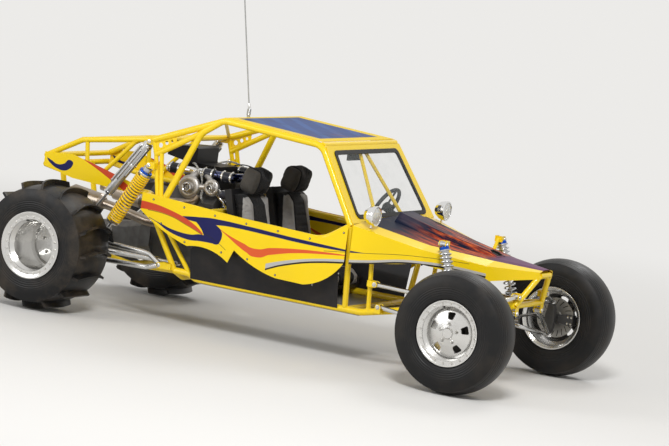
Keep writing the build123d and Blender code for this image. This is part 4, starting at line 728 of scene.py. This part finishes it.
def damper_trim():
    """Blue caps, adjuster collars and bright bands on the dampers."""
    cap = [(0.0265, -0.006), (0.0315, -0.004), (0.0315, 0.020), (0.028, 0.023), (0.0265, 0.023),
           (0.0265, -0.006)]
    collar = [(0.031, 0.0), (0.0425, 0.001), (0.044, 0.004), (0.044, 0.010), (0.0425, 0.012), (0.031, 0.012),
              (0.031, 0.0)]
    band = [(0.0312, 0.0), (0.0345, 0.001), (0.0345, 0.013), (0.0312, 0.014), (0.0312, 0.0)]
    damper_rings("front_damper_caps", cap, SHOCK_TOP, SHOCK_LOW, [0.022], 28, "blue")
    damper_rings("rear_spring_collar_upper", collar, COIL_TOP, COIL_LOW, [0.062], 40, "spring_silver")
    damper_rings("rear_lock_ring", collar, COIL_TOP, COIL_LOW, [0.050], 40, "blue")
    damper_rings("bypass_bands", band, BYPASS_TOP, BYPASS_LOW, [0.030, 0.200, 0.455], 36, "polished")


# Bolts and small hardware

HEX_HEAD = [(0.0, 1.0), (0.55, 1.0), (0.92, 0.92), (1.0, 0.80), (1.0, 0.0), (0.0, 0.0)]
DOME_HEAD = [(0.0, 1.0), (0.45, 0.90), (0.80, 0.60), (1.0, 0.0), (0.0, 0.0)]
LUG_NUT = [(0.0, 1.0), (0.40, 0.97), (0.62, 0.80), (0.72, 0.35), (1.0, 0.10), (1.0, 0.0), (0.0, 0.0)]


def heads(name, places, axes, radius, height, finish, body="chassis", shape=HEX_HEAD, sides=6):
    """Bolt heads of one size: the head's profile scaled by radius and height, turned at each place."""
    profile = [(r * radius, h * height) for r, h in shape]
    return surface(name, turned(profile, places, axes, sides), finish, body)


def ring_places(centre, outward, radius, count, reach, first=0.0):
    """Places evenly round a wheel's axle: centre + r (cos a, 0, sin a) + reach outwards."""
    angle = first + 2 * math.pi * np.arange(count) / count
    ring = np.stack([np.cos(angle), 0 * angle, np.sin(angle)], axis=-1)
    return centre + radius * ring + np.array([0.0, outward * reach, 0.0])


def ring_of_bolts(centre, axis, radius, count):
    """Places evenly on a circle square to the axis."""
    _, u, v = (d[0] for d in sides_of(axis))
    return centre + radius * circle(2 * math.pi * np.arange(count) / count, u, v)


def wheels():
    """Bolted rings on the rims' outer edges, lug nuts and valve stems, each on its wheel."""
    # End, axle, number of ring bolts, bead ring's inner and outer radius, back and face, the bolts' circle,
    # radius and height, the lug nuts' circle and face
    rows = [
        ("front", FRONT_AXLE, 20, (0.172, 0.196, 0.106, 0.113), 0.184, 0.0045, 0.0055, 0.058, 0.094),
        ("rear", REAR_AXLE, 24, (0.170, 0.200, 0.186, 0.1935), 0.186, 0.0055, 0.0058, 0.078, -0.094),
    ]
    for end, axle, bolts, (inner, outer, back, face), bolt_ring, bolt_r, bolt_h, lug_ring, lug_face in rows:
        for side, outward in SIDES:
            centre = axle * np.array([1.0, outward, 1.0])
            body = f"{end}_wheel_{side}"
            axis = (0.0, outward, 0.0)
            band = [(inner, back), (inner, face - 0.002), (inner + 0.002, face), (outer - 0.002, face),
                    (outer, face - 0.002), (outer, back), (inner, back)]
            surface(f"{end}_bead_ring_{side}", turned(band, centre, axis, 72), end + "_rim", body)
            places = ring_places(centre, outward, bolt_ring, bolts, face)
            heads(f"{end}_bead_bolts_{side}", places, axis, bolt_r * 1.5, bolt_h, "zinc", body)
            places = ring_places(centre, outward, lug_ring, 5, lug_face, 0.3)
            heads(f"{end}_lug_nuts_{side}", places, axis, 0.0125, 0.022, "zinc", body,
                  LUG_NUT, 12)
            stem = ring_places(centre, outward, inner - 0.006, 1, face - 0.034, 1.9)
            heads(f"{end}_valve_stem_{side}", stem, axis, 0.0045, 0.036, "rubber", body,
                  DOME_HEAD, 10)


def caliper_bolts():
    """Four bolts on the inner side of each front caliper, each set on its knuckle."""
    for side, outward in SIDES:
        centre = FRONT_AXLE * np.array([1.0, outward, 1.0])
        grid = np.array([(x, -0.0765 * outward, z) for x in (0.103, 0.128) for z in (-0.021, 0.021)])
        heads(f"caliper_bolts_{side}", centre + grid, (0.0, -outward, 0.0), 0.0085, 0.008, "zinc",
              f"knuckle_{side}")


def belt_edge(x):
    """Height of the flank's top edge at x, from its corner points."""
    return np.interp(x, [-0.951, -0.190, 0.450, 0.634], [0.859, 0.814, 0.794, 0.909])


def panel_fasteners():
    """Dark quarter-turn fasteners along the flanks' top and bottom edges."""
    x = np.arange(-0.86, 0.60, 0.24)
    top = np.stack([x, belt_edge(x) - 0.030], axis=-1)
    low = np.array([(-0.78, 0.655), (-0.585, 0.565), (-0.30, 0.545), (-0.10, 0.535), (0.12, 0.470),
                    (0.40, 0.455), (0.58, 0.560)]) + (0.0, 0.022)
    x, z = np.vstack([top, low]).T
    places = with_twins(np.stack([x, FLANK_Y0 + FLANK_LEAN * x + 0.0002, z], axis=-1))
    axes = with_twins(np.tile(np.array([-FLANK_LEAN, 1.0, 0.0]), (len(x), 1)))
    heads("flank_fasteners", places, axes, 0.0075, 0.0026, "dark_bolt", shape=DOME_HEAD,
          sides=14)
    slots = places + unit(axes) * 0.0025
    heads("flank_fastener_slots", slots, axes, 0.0032, 0.0008, "zinc", shape=DOME_HEAD,
          sides=8)


def spine_top(x, drop):
    """Height of the hood spine's top over the vent, falling forward, less a drop."""
    return np.interp(x, [1.345, 1.420], [0.841, 0.809]) - drop


def hood_vent():
    """Dark screen with a raised rim in the hexagonal opening at the spine's front end."""
    corners = [(-0.028, -0.018), (0.0, -0.044), (0.034, -0.036), (0.034, 0.036), (0.0, 0.044),
               (-0.028, 0.018)]
    corners = np.array(corners + corners[:1])
    share = np.linspace(0, 6, 61)[:-1]
    k = share.astype(int)
    outline = corners[k] + (corners[k + 1] - corners[k]) * (share - k)[:, None]
    x, y = 1.375 + outline[:, 0], outline[:, 1]
    middle = 1.378
    # Each line of the rim: the outline's growth and the drop below the spine's top
    rows = []
    for grow, drop in ((0.0, 0.010), (0.90, 0.010), (0.90, 0.004), (0.96, 0.0), (1.06, -0.0020),
                       (1.10, 0.001), (1.06, 0.014)):
        reach = middle + (x - middle) * grow
        rows.append(np.stack([reach, y * grow, spine_top(reach, drop)], axis=-1))
    surface("hood_vent_screen", np.stack(rows), "vent")


def pivot_bolts():
    """Plated bolt heads and washers on the tab plates of each pivot."""
    # Middle and axis of each pivot on the left
    rows = [
        ((0.790, 0.468, 0.542), (0, 1, 0)), ((0.830, 0.458, 0.402), (0, 1, 0)),
        ((1.655, 0.215, 0.600), (1, 0, 0)), ((1.640, 0.190, 0.492), (1, 0, 0)),
        (SHOCK_TOP, (1, 0, 0)), ((-0.800, 0.470, 0.394), (0, 1, 0)),
        (COIL_TOP, (0, 1, 0)), (BYPASS_TOP, (0, 1, 0)),
    ]
    places, axes = [], []
    for place, axis in rows:
        for _, mirror in SIDES:
            for way in (1.0, -1.0):
                direction = way * np.array(axis, float)
                places.append(np.array(place) * (1.0, mirror, 1.0) + direction * 0.0256)
                axes.append(direction)
    places, axes = np.array(places), np.array(axes)
    heads("pivot_washers", places, axes, 0.0145, 0.0024, "zinc", shape=HEX_HEAD,
          sides=20)
    heads("pivot_bolt_heads", places + axes * 0.0022, axes, 0.0112, 0.0075, "zinc")


def lamps():
    """Domed lamp glass with fluting, a bright bezel and the bulb's shield behind the glass."""
    centres = both(LAMP + (0.014, 0.0, 0.0))
    glass_face = [(0.0, 0.011), (0.020, 0.0100), (0.040, 0.0065), (0.056, 0.0010), (0.058, 0.0),
                  (0.056, -0.0015), (0.040, 0.0045), (0.020, 0.0080), (0.0, 0.009)]
    surface("lamp_glass", turned(glass_face, centres, (1, 0, 0), 48), "lamp_glass")
    bezel = [(0.0555, -0.002), (0.0565, 0.0035), (0.061, 0.0055), (0.0655, 0.003), (0.0668, -0.004),
             (0.0650, -0.010), (0.0640, -0.010), (0.0640, -0.002), (0.0555, -0.002)]
    surface("lamp_bezels", turned(bezel, centres, (1, 0, 0), 56), "lamp")
    shield = [(0.0, 0.0075), (0.009, 0.0065), (0.013, 0.003), (0.014, -0.001), (0.0, -0.001)]
    surface("lamp_shields", turned(shield, centres - (0.001, 0.0, 0.0), (1, 0, 0), 24), "lamp")


def charge_hoses():
    """Hose collars with clamps and screws on the charge pipes' joints."""
    sleeve = [(0.0300, -0.045), (0.0345, -0.044), (0.0352, 0.0), (0.0345, 0.044), (0.0300, 0.045),
              (0.0300, -0.045)]
    clamp = [(0.0350, -0.0065), (0.0372, -0.006), (0.0376, 0.0), (0.0372, 0.006), (0.0350, 0.0065),
             (0.0350, -0.0065)]
    places = with_twins(np.array([(x, 0.238, 1.018) for x in (-0.648, -0.505, -0.905)]))
    surface("charge_hose_collars", turned(sleeve, places, (1, 0, 0), 36), "hose")
    clamps = np.vstack([places + (0.032, 0, 0), places - (0.032, 0, 0)])
    surface("charge_hose_clamps", turned(clamp, clamps, (1, 0, 0), 36), "zinc")
    screws = clamps + (0.0, 0.0, 0.0385)
    heads("clamp_screws", screws, (0, 1, 0), 0.0048, 0.011, "zinc")


def turbo_blade(place, radius, scroll, mirror, number):
    """Compressor blade: its angle grows with the radius and with the way out of the mouth."""
    r = np.linspace(0.008, 0.38 * radius, 6)[:, None]
    lift = np.array([0.0, 0.012])[None, :]
    angle = 2 * math.pi * number / BLADES + 0.9 * (r / (0.4 * radius)) + lift * 18
    return np.stack([place[0] + r * np.cos(angle), mirror * (place[1] + scroll - 0.003 + lift + 0 * r),
                     place[2] + r * np.sin(angle)], axis=-1)


def turbo_dress():
    """Rolled ring, hub nut, flange bolts and compressor blades in the mouth of each turbo."""
    nose = [(0.0, 0.012), (0.004, 0.0115), (0.0075, 0.008), (0.0085, 0.0), (0.0, 0.0)]
    rings, nuts, bolts, axes, blades = [], [], [], [], []
    for place, radius, scroll in TURBOS:
        mouth = [(0.41, 0.012), (0.43, 0.0215), (0.50, 0.0245), (0.58, 0.0225), (0.60, 0.016), (0.555, 0.010),
                 (0.41, 0.012)]
        mouth = [(share * radius, scroll + height) for share, height in mouth]
        for _, mirror in SIDES:
            centre, out = place * (1.0, mirror, 1.0), np.array([0.0, mirror, 0.0])
            rings.append(turned(mouth, centre, out, 40)[0])
            nuts.append(turned(nose, centre + out * (scroll - 0.002), out, 20)[0])
            bolts.append(ring_places(centre, mirror, radius * 0.92, 8, scroll * 0.70, 0.2))
            axes.append(np.tile(out, (8, 1)))
            blades += [turbo_blade(place, radius, scroll, mirror, k) for k in range(BLADES)]
    surface("turbo_inlet_rings", np.stack(rings), "polished")
    surface("turbo_hub_nuts", np.stack(nuts), "zinc")
    heads("turbo_flange_bolts", np.vstack(bolts), np.vstack(axes), 0.0052, 0.007, "zinc")
    made = surface("compressor_blades", np.stack(blades), "polished",
                   closed=(False, False))
    made.modifiers.new("blade thickness", "SOLIDIFY").thickness = 0.0012


def engine_lines():
    """Oil, boost, fuel and coolant lines, left and right."""
    # Piece, radius, finish, points on the line
    lines = [
        ("oil_feed_lines", 0.0062, "braid",
         [(-0.665, 0.292, 0.944), (-0.655, 0.315, 0.985), (-0.700, 0.300, 1.045), (-0.760, 0.250, 1.070),
          (-0.800, 0.200, 1.065), (-0.815, 0.136, 1.050)]),
        ("oil_drain_lines", 0.0085, "braid",
         [(-0.655, 0.290, 0.918), (-0.650, 0.305, 0.870), (-0.640, 0.290, 0.830), (-0.630, 0.270, 0.790)]),
        ("boost_signal_lines", 0.0040, "rubber",
         [(-0.583, 0.300, 0.995), (-0.590, 0.280, 1.045), (-0.640, 0.200, 1.070), (-0.700, 0.135, 1.055)]),
        ("fuel_rails", 0.0090, "hose", [(x, 0.165, 0.868) for x in (-1.020, -0.900, -0.700, -0.540)]),
        ("coolant_pipes", 0.0150, "polished",
         [(-0.470, 0.150, 0.700), (-0.470, 0.215, 0.770), (-0.500, 0.262, 0.850), (-0.560, 0.255, 0.895)]),
    ]
    for name, radius, finish, points in lines:
        surface(name, both(tube(flowing(points, 48), radius, 12, (0.3, 0.2, 0.9))), finish)


def exhaust_dress():
    """Four runners from each bank into a collector that rises to the turbos."""
    runners = []
    for x in (-1.010, -0.900, -0.790, -0.680):
        bend = [(x, 0.222, 0.700), (x, 0.286, 0.705), (x + 0.012, 0.318, 0.740), (x + 0.030, 0.312, 0.790)]
        runners.append(tube(flowing(bend, 22), 0.019, 16, (1.0, 0.0, 0.0)))
    surface("exhaust_runners", with_twins(np.stack(runners)), "exhaust")
    log = [(-1.030, 0.313, 0.792), (-0.900, 0.313, 0.800), (-0.780, 0.311, 0.812), (-0.700, 0.306, 0.830),
           (-0.672, 0.300, 0.868)]
    surface("exhaust_collectors", both(tube(flowing(log, 40), 0.024, 18)), "exhaust")


def wastegates():
    """Wastegates ahead of the turbos, each with a black end cap and its pipe."""
    gate = [(0.0, -0.036), (0.020, -0.036), (0.024, -0.032), (0.024, -0.006), (0.031, -0.004), (0.031, 0.004),
            (0.026, 0.006), (0.028, 0.022), (0.0, 0.022)]
    cap = [(0.0, 0.020), (0.028, 0.020), (0.0295, 0.026), (0.026, 0.036), (0.016, 0.041), (0.0, 0.042)]
    places, out = both(np.array([-0.492, 0.282, 0.905])), both(np.array([0.25, 0.968, 0.0]))
    surface("wastegates", turned(gate, places, out, 32), "turbo")
    surface("wastegate_caps", turned(cap, places, out, 32), "hose")
    link = [(-0.560, 0.262, 0.925), (-0.540, 0.258, 0.915), (-0.515, 0.262, 0.906), (-0.492, 0.270, 0.905)]
    surface("wastegate_pipes", both(tube(flowing(link, 16), 0.013, 14)), "polished")


def cover_bolts():
    """Bolts along the cam covers."""
    x = np.linspace(-1.030, -0.560, 7)
    places = with_twins(np.stack([x, 0 * x + 0.2195, 0 * x + 0.8825], axis=-1))
    heads("cam_cover_bolts", places, (0, 0, 1), 0.006, 0.008, "zinc")


def dash_dials():
    """Ringed dials on the leaning dash."""
    lean = math.radians(14.0)
    facing = np.array([-math.cos(lean), 0.0, math.sin(lean)])
    down = np.array([-math.sin(lean), 0.0, -math.cos(lean)])
    seat = np.array([0.613, 0.0, 0.893]) + facing * 0.0225
    across = np.array([(0.135,), (0.215,), (0.395,), (0.460,), (0.048,)])
    places = seat + across * np.array([0.0, 1.0, 0.0]) + 0.060 * down
    rim = [(0.0, 0.005), (0.022, 0.005), (0.0235, 0.009), (0.027, 0.0095), (0.0285, 0.006), (0.0285, 0.0),
           (0.0, 0.0)]
    surface("dash_dials", turned(rim, places, facing, 36), "lamp")
    face = [(0.0, 0.0060), (0.0215, 0.0060), (0.0215, 0.0052), (0.0, 0.0052)]
    surface("dash_dial_faces", turned(face, places, facing, 36), "dark_bolt")


def wheel_trim():
    """Button and hub bolts on the steering wheel, which turn with it."""
    column = unit(np.array([1.0, 0.0, COLUMN_SLOPE]))
    button = [(0.0, 0.018), (0.012, 0.0165), (0.020, 0.011), (0.023, 0.004), (0.0235, 0.0), (0.0, 0.0)]
    surface("wheel_button", turned(button, WHEEL_CENTRE, -column, 28), "dark_bolt", "steering_wheel")
    ring = ring_of_bolts(WHEEL_CENTRE - column * 0.004, -column, 0.0275, 6)
    heads("wheel_hub_bolts", ring, -column, 0.0035, 0.004, "zinc", "steering_wheel")


def mirror_glass():
    """Wide mirror's glass, bulging a little along its length."""
    v = np.linspace(-0.092, 0.092, 20)[:, None]
    w = np.linspace(-0.023, 0.023, 8)[None, :]
    bulge = 0.0018 * (1 - (v / 0.092) ** 2)
    face = np.stack([0.2738 - bulge + 0 * w, v + 0 * w, 1.278 + w + 0 * v], axis=-1)
    surface("mirror_glass", face, "lamp", closed=(False, False))


def whip_foot():
    """Spring and ferrule at the foot of the leaning whip."""
    lean = math.radians(11.0)
    up = np.array([-math.sin(lean), 0.0, math.cos(lean)])
    base = np.array([-0.430, -0.205, 1.4303])
    surface("whip_spring", coil(base + (0, 0, 0.012), base + (0, 0, 0.060), 0.0, 0.046, 9, 0.0125, 0.0021),
            "spring_silver")
    ferrule = [(0.0052, 0.0), (0.0085, 0.002), (0.0085, 0.030), (0.0060, 0.036), (0.0052, 0.036),
               (0.0052, 0.0)]
    surface("whip_ferrule", turned(ferrule, base + (0, 0, 0.052) + up * 0.004, up, 20), "zinc")


def between(a, b, share):
    """Point a share of the way from a to b."""
    return tuple(p + (q - p) * share for p, q in zip(a, b))


def on_line(a, b, x):
    """Point at one X on the line from a to b."""
    return between(a, b, (x - a[0]) / (b[0] - a[0]))


def weld(main_from, main_to, main_r, foot, to, branch_r, count=56):
    """Bead where a branch tube meets a main tube: a small rippled ring tube on the branch's surface, at the
    distance along it where a line parallel to it comes main_r from the main tube's middle line."""
    main_from, main_to, foot, to = (np.asarray(p, float) for p in (main_from, main_to, foot, to))
    bead_r, ripple, ripples = 0.0036, 0.0007, 18
    m = unit(main_to - main_from)
    d, u, v = (k[0] for k in sides_of(to - foot))
    start = foot + branch_r * circle(angles(count), u, v) - main_from
    across = start - (start @ m)[:, None] * m
    d_across = d - (d @ m) * m
    a = d_across @ d_across
    b = across @ d_across
    c = np.einsum("ij,ij->i", across, across) - main_r ** 2
    reach = (-b + np.sqrt(np.maximum(b * b - a * c, 0.0))) / a
    line = main_from + start + reach[:, None] * d
    middle = line.mean(axis=0)
    outward = unit(line - middle - ((line - middle) @ d)[:, None] * d)
    size = bead_r + ripple * np.cos(angles(count) * ripples)
    return line[:, None] + size[:, None, None] * circle(angles(8), outward, d)


def frame_welds():
    """Weld beads at the frame's joints that show most, left and right."""
    post_top, post_foot = on_line(NOSE_RAIL_REAR, NOSE_RAIL_MID, 0.745), on_line(RAIL_FRONT, NOSE_BOX, 0.745)
    tower_foot = on_line(NOSE_RAIL_MID, NOSE_TIP, 1.205)
    hip_top = on_line(BELT_REAR, BELT_MID, -0.440)
    screen_top, screen_foot = (0.304, 0.020, 1.362), (0.613, 0.205, 0.893)
    belt = (BELT_REAR, BELT_MID, MAIN_R)
    # Main tube's ends and radius, branch's foot, other end and radius
    rows = [
        (*belt, between(BELT_REAR, BELT_MID, 0.19), DIAG_KNEE, MAIN_R),
        (*belt, between(BELT_REAR, BELT_MID, 0.12), TRUSS_LOW, THIN_R),
        (*belt, between(BELT_REAR, BELT_MID, 0.155), on_line(DIAG_KNEE, TRUSS_LOW, -0.877), THIN_R),
        (*belt, between(BELT_REAR, BELT_MID, 0.05), (-0.585, 0.450, 0.373), THIN_R),
        (*belt, hip_top, (-0.440, 0.450, 0.345), MID_R),
        (PILLAR_TOP, (0.304, -0.512, 1.362), MAIN_R, screen_top, screen_foot, SMALL_R),
        (PILLAR_FOOT, (0.613, -0.572, 0.893), MID_R, screen_foot, screen_top, SMALL_R),
        (NOSE_RAIL_MID, NOSE_TIP, MID_R, tower_foot, (1.205, 0.388, 0.872), SMALL_R),
        (NOSE_RAIL_REAR, NOSE_RAIL_MID, MID_R, post_top, post_foot, THIN_R),
        (RAIL_FRONT, NOSE_BOX, MAIN_R, post_foot, post_top, THIN_R),
        (TAIL_UP_FRONT, TAIL_UP_REAR, MID_R, between(TAIL_UP_FRONT, TAIL_UP_REAR, 0.3),
         between(TAIL_LOW_FRONT, TAIL_LOW_REAR, 0.72), THIN_R),
        (TAIL_LOW_FRONT, TAIL_LOW_REAR, MID_R, between(TAIL_LOW_FRONT, TAIL_LOW_REAR, 0.72),
         between(TAIL_UP_FRONT, TAIL_UP_REAR, 0.3), THIN_R),
    ]
    beads = np.stack([weld(*row) for row in rows])
    surface("frame_welds", with_twins(beads), "yellow", closed=(True, True))


# Soft goods: start from the CAD solid, voxels, cloth under pressure, then seams

def solid_near(node, place):
    """The node's solid whose box is centred nearest to a place, as a mesh with doubled points merged."""
    work = bmesh.new()
    work.from_mesh(NODES[node].data)
    bmesh.ops.remove_doubles(work, verts=work.verts, dist=1e-5)
    left, best, far = set(work.verts), None, 1e9
    while left:
        island, edge = set(), [left.pop()]
        while edge:
            vert = edge.pop()
            island.add(vert)
            near = {e.other_vert(vert) for e in vert.link_edges} & left
            left -= near
            edge.extend(near)
        box = np.array([v.co for v in island])
        gap = np.linalg.norm((box.min(axis=0) + box.max(axis=0)) / 2 - place)
        if gap < far:
            best, far = island, gap
    bmesh.ops.delete(work, geom=[v for v in work.verts if v not in best], context="VERTS")
    mesh = bpy.data.meshes.new(node)
    work.to_mesh(mesh)
    work.free()
    return mesh


def points_of(mesh, what="co"):
    found = np.empty(len(mesh.vertices) * 3)
    mesh.vertices.foreach_get(what, found)
    return found.reshape(-1, 3)


def stuffed(name, node, place, voxel, shrink, rounding, cap, pressure, stiffness):
    """Pad from a CAD solid: shrunk, remeshed in voxels, its edges rounded, then blown up as cloth, each
    point's way held to the cap."""
    mesh = solid_near(node, place)
    start = points_of(mesh)
    middle = (start.min(axis=0) + start.max(axis=0)) / 2
    mesh.vertices.foreach_set("co", (middle + (start - middle) * shrink).ravel())
    pad = bpy.data.objects.new(name, mesh)
    bpy.context.scene.collection.objects.link(pad)
    bpy.context.view_layer.objects.active = pad
    voxels = pad.modifiers.new("voxels", "REMESH")
    voxels.mode, voxels.voxel_size = "VOXEL", voxel
    bpy.ops.object.modifier_apply(modifier=voxels.name)
    edges = pad.modifiers.new("rounded edges", "SMOOTH")
    edges.factor, edges.iterations = 0.5, rounding
    bpy.ops.object.modifier_apply(modifier=edges.name)
    filling = pad.modifiers.new("filling", "CLOTH")
    settings = filling.settings
    settings.use_pressure, settings.uniform_pressure_force = True, pressure
    settings.effector_weights.gravity = 0.0
    settings.tension_stiffness = settings.compression_stiffness = stiffness
    settings.quality = 5
    filling.point_cache.frame_start, filling.point_cache.frame_end = 1, SETTLE_FRAMES
    for moment in range(1, SETTLE_FRAMES + 1):
        bpy.context.scene.frame_set(moment)
    blown = pad.evaluated_get(bpy.context.evaluated_depsgraph_get()).to_mesh()
    before, after = points_of(pad.data), points_of(blown)
    way = after - before
    length = np.linalg.norm(way, axis=1, keepdims=True)
    after = before + way * np.minimum(1.0, cap / np.maximum(length, 1e-9))
    pad.modifiers.remove(filling)
    pad.data.vertices.foreach_set("co", after.ravel())
    pad.data.update()
    bpy.context.scene.frame_set(1)
    return pad


def groove(pad, depth):
    """Draws the cover in along its seams: each point moves against its normal by the depth for its place."""
    at, normal = points_of(pad.data), points_of(pad.data, "normal")
    pad.data.vertices.foreach_set("co", (at - normal * depth(at)[:, None]).ravel())
    pad.data.update()


def seam(distance, width):
    """Share 1 on the seam's line falling smoothly to 0 past its width."""
    return np.exp(-(distance / width) ** 2)


def bolster_edge(height):
    """Distance of the bolster's seam from the seat's middle, wider low down."""
    return np.interp(height, BOLSTER_HEIGHTS, BOLSTER_EDGE)


def pleats(distance):
    """Soft ridges across a panel: half of one plus the cosine, to the sixth power, once a pitch."""
    return PLEAT_DEPTH * (0.5 + 0.5 * np.cos(2 * math.pi * distance / PLEAT_PITCH)) ** 6


def back_seams(at):
    """Bolster seams that close in upwards, and soft pleats across the middle panel."""
    off = np.abs(at[:, 1] - SEAT_Y)
    edge = bolster_edge(at[:, 2])
    front = at[:, 0] > -0.20 - (at[:, 2] - 0.45) * 0.36
    panel = np.where((off < edge) & front, pleats(at[:, 2] - 0.46), 0.0)
    return SEAM_DEPTH * seam(off - edge, SEAM_WIDTH) + panel * (1 - seam(off - edge, 0.02))


def base_seams(at):
    """Bolster seams along the base and pleats across it."""
    off = np.abs(at[:, 1] - SEAT_Y)
    panel = (off < BASE_EDGE) & (at[:, 2] > 0.45)
    return SEAM_DEPTH * seam(off - BASE_EDGE, SEAM_WIDTH) + np.where(panel, pleats(at[:, 0] + 0.10), 0.0)


def headrest_seams(at):
    """Seams between the middle of the pad and its ends."""
    off = np.abs(at[:, 1] - SEAT_Y)
    return 0.005 * seam(off - 0.072, 0.005)


def soft_goods():
    """Seat bases, backs and headrests: the left of each is blown up and seamed, the right is its twin."""
    # Piece, node and middle of its solid, voxel, starting size, rounding steps, cap, pressure, stiffness,
    # seams, finish
    rows = [
        ("seat_base", "seat_cushions", (0.036, SEAT_Y, 0.444), 0.0055, 0.97, 6, 0.016, 3.5, 15.0,
         base_seams, "seat"),
        ("seat_back", "seat_cushions", (-0.243, SEAT_Y, 0.693), 0.0055, 0.97, 6, 0.018, 3.5, 15.0,
         back_seams, "seat"),
        ("headrest", "headrests", (-0.270, SEAT_Y, 1.043), 0.0050, 1.0, 90, 0.024, 5.5, 8.0,
         headrest_seams, "headrest"),
    ]
    for name, node, place, *cushion, seams, finish in rows:
        pad = stuffed(name + "_left", node, np.array(place), *cushion)
        groove(pad, seams)
        pad.data.shade_smooth()
        twin = bpy.data.objects.new(name + "_right", pad.data.copy())
        bpy.context.scene.collection.objects.link(twin)
        twin.data.vertices.foreach_set("co", (points_of(pad.data) * TWIN).ravel())
        twin.data.flip_normals()
        for piece in (pad, twin):
            finer = piece.modifiers.new("smooth cover", "SUBSURF")
            finer.levels = finer.render_levels = 1
            dress(piece, finish, "chassis", [node])


def camera():
    """The photograph's viewpoint: low, right side and nose, rolled a little with the slope."""
    turn, rise, roll = math.radians(27.227), math.radians(6.257), math.radians(7.47)
    back = Vector((math.sin(turn) * math.cos(rise), -math.cos(turn) * math.cos(rise), math.sin(rise)))
    level = Vector((math.cos(turn), math.sin(turn), 0.0))
    above = back.cross(level)
    right = level * math.cos(roll) + above * math.sin(roll)
    up = above * math.cos(roll) - level * math.sin(roll)
    lens = bpy.data.cameras.new("camera")
    lens.lens, lens.sensor_width = 182.96, 36.0
    lens.clip_start, lens.clip_end = 1.0, 500.0
    eye = bpy.data.objects.new("camera", lens)
    bpy.context.scene.collection.objects.link(eye)
    eye.matrix_world = Matrix((right, up, back)).transposed().to_4x4()
    eye.location = (10.339, -19.710, 3.253)
    bpy.context.scene.camera = eye


def lamp(name, place, aim, size, power):
    light = bpy.data.lights.new(name, "AREA")
    light.shape, light.size, light.energy = "DISK", size, power
    made = bpy.data.objects.new(name, light)
    bpy.context.scene.collection.objects.link(made)
    made.location = place
    made.rotation_euler = (Vector(aim) - Vector(place)).to_track_quat("-Z", "Y").to_euler()


def studio():
    """Pale floor that fades into the backdrop's colour, soft lamps, and a pale surround."""
    pale = (0.84, 0.83, 0.81, 1.0)
    bpy.ops.mesh.primitive_circle_add(vertices=96, radius=60.0, fill_type="NGON", location=(0, 0, 0))
    floor = bpy.context.object
    floor.name = "floor"
    f = Finish("floor")
    x, y, _ = f.axes()
    far = f.across(x, y)
    glow = f.node("ShaderNodeEmission")
    glow.inputs["Color"].default_value = pale
    f.set(Base_Color=(0.80, 0.79, 0.77), Roughness=0.9)
    blend = f.node("ShaderNodeMixShader")
    f.feed(blend.inputs[0], f.span(far, 3.2, 9.0, 0.0, 1.0, True))
    f.feed(blend.inputs[1], f.shader.outputs[0])
    f.feed(blend.inputs[2], glow.outputs[0])
    f.feed(f.tree.nodes["Material Output"].inputs["Surface"], blend.outputs[0])
    floor.data.materials.append(f.material)

    world = bpy.data.worlds.new("surround")
    bpy.context.scene.world = world
    world.use_nodes = True
    tree = world.node_tree
    path = tree.nodes.new("ShaderNodeLightPath")
    seen = path.outputs["Is Camera Ray"]
    for ray in ("Is Transmission Ray", "Is Glossy Ray"):
        either = tree.nodes.new("ShaderNodeMath")
        either.operation, either.use_clamp = "ADD", True
        tree.links.new(seen, either.inputs[0])
        tree.links.new(path.outputs[ray], either.inputs[1])
        seen = either.outputs[0]
    strength = tree.nodes.new("ShaderNodeMapRange")
    tree.links.new(seen, strength.inputs["Value"])
    strength.inputs["To Min"].default_value = 0.50
    strength.inputs["To Max"].default_value = 1.0
    sky = tree.nodes["Background"]
    sky.inputs["Color"].default_value = pale
    tree.links.new(strength.outputs[0], sky.inputs["Strength"])

    lamp("key", (4.5, -7.5, 8.0), (0.2, 0, 0.7), 2.6, 690.0)
    lamp("fill", (-6.0, -8.0, 4.5), (-0.3, 0, 0.7), 5.0, 220.0)
    lamp("back", (1.0, 7.0, 8.0), (0, 0, 0.8), 4.0, 260.0)

    bpy.context.scene.view_settings.view_transform = "Standard"


camera()
finish_nodes()
soft_goods()
springs()
damper_trim()
wheels()
caliper_bolts()
panel_fasteners()
hood_vent()
pivot_bolts()
lamps()
charge_hoses()
turbo_dress()
engine_lines()
exhaust_dress()
wastegates()
cover_bolts()
dash_dials()
wheel_trim()
mirror_glass()
whip_foot()
frame_welds()
studio()
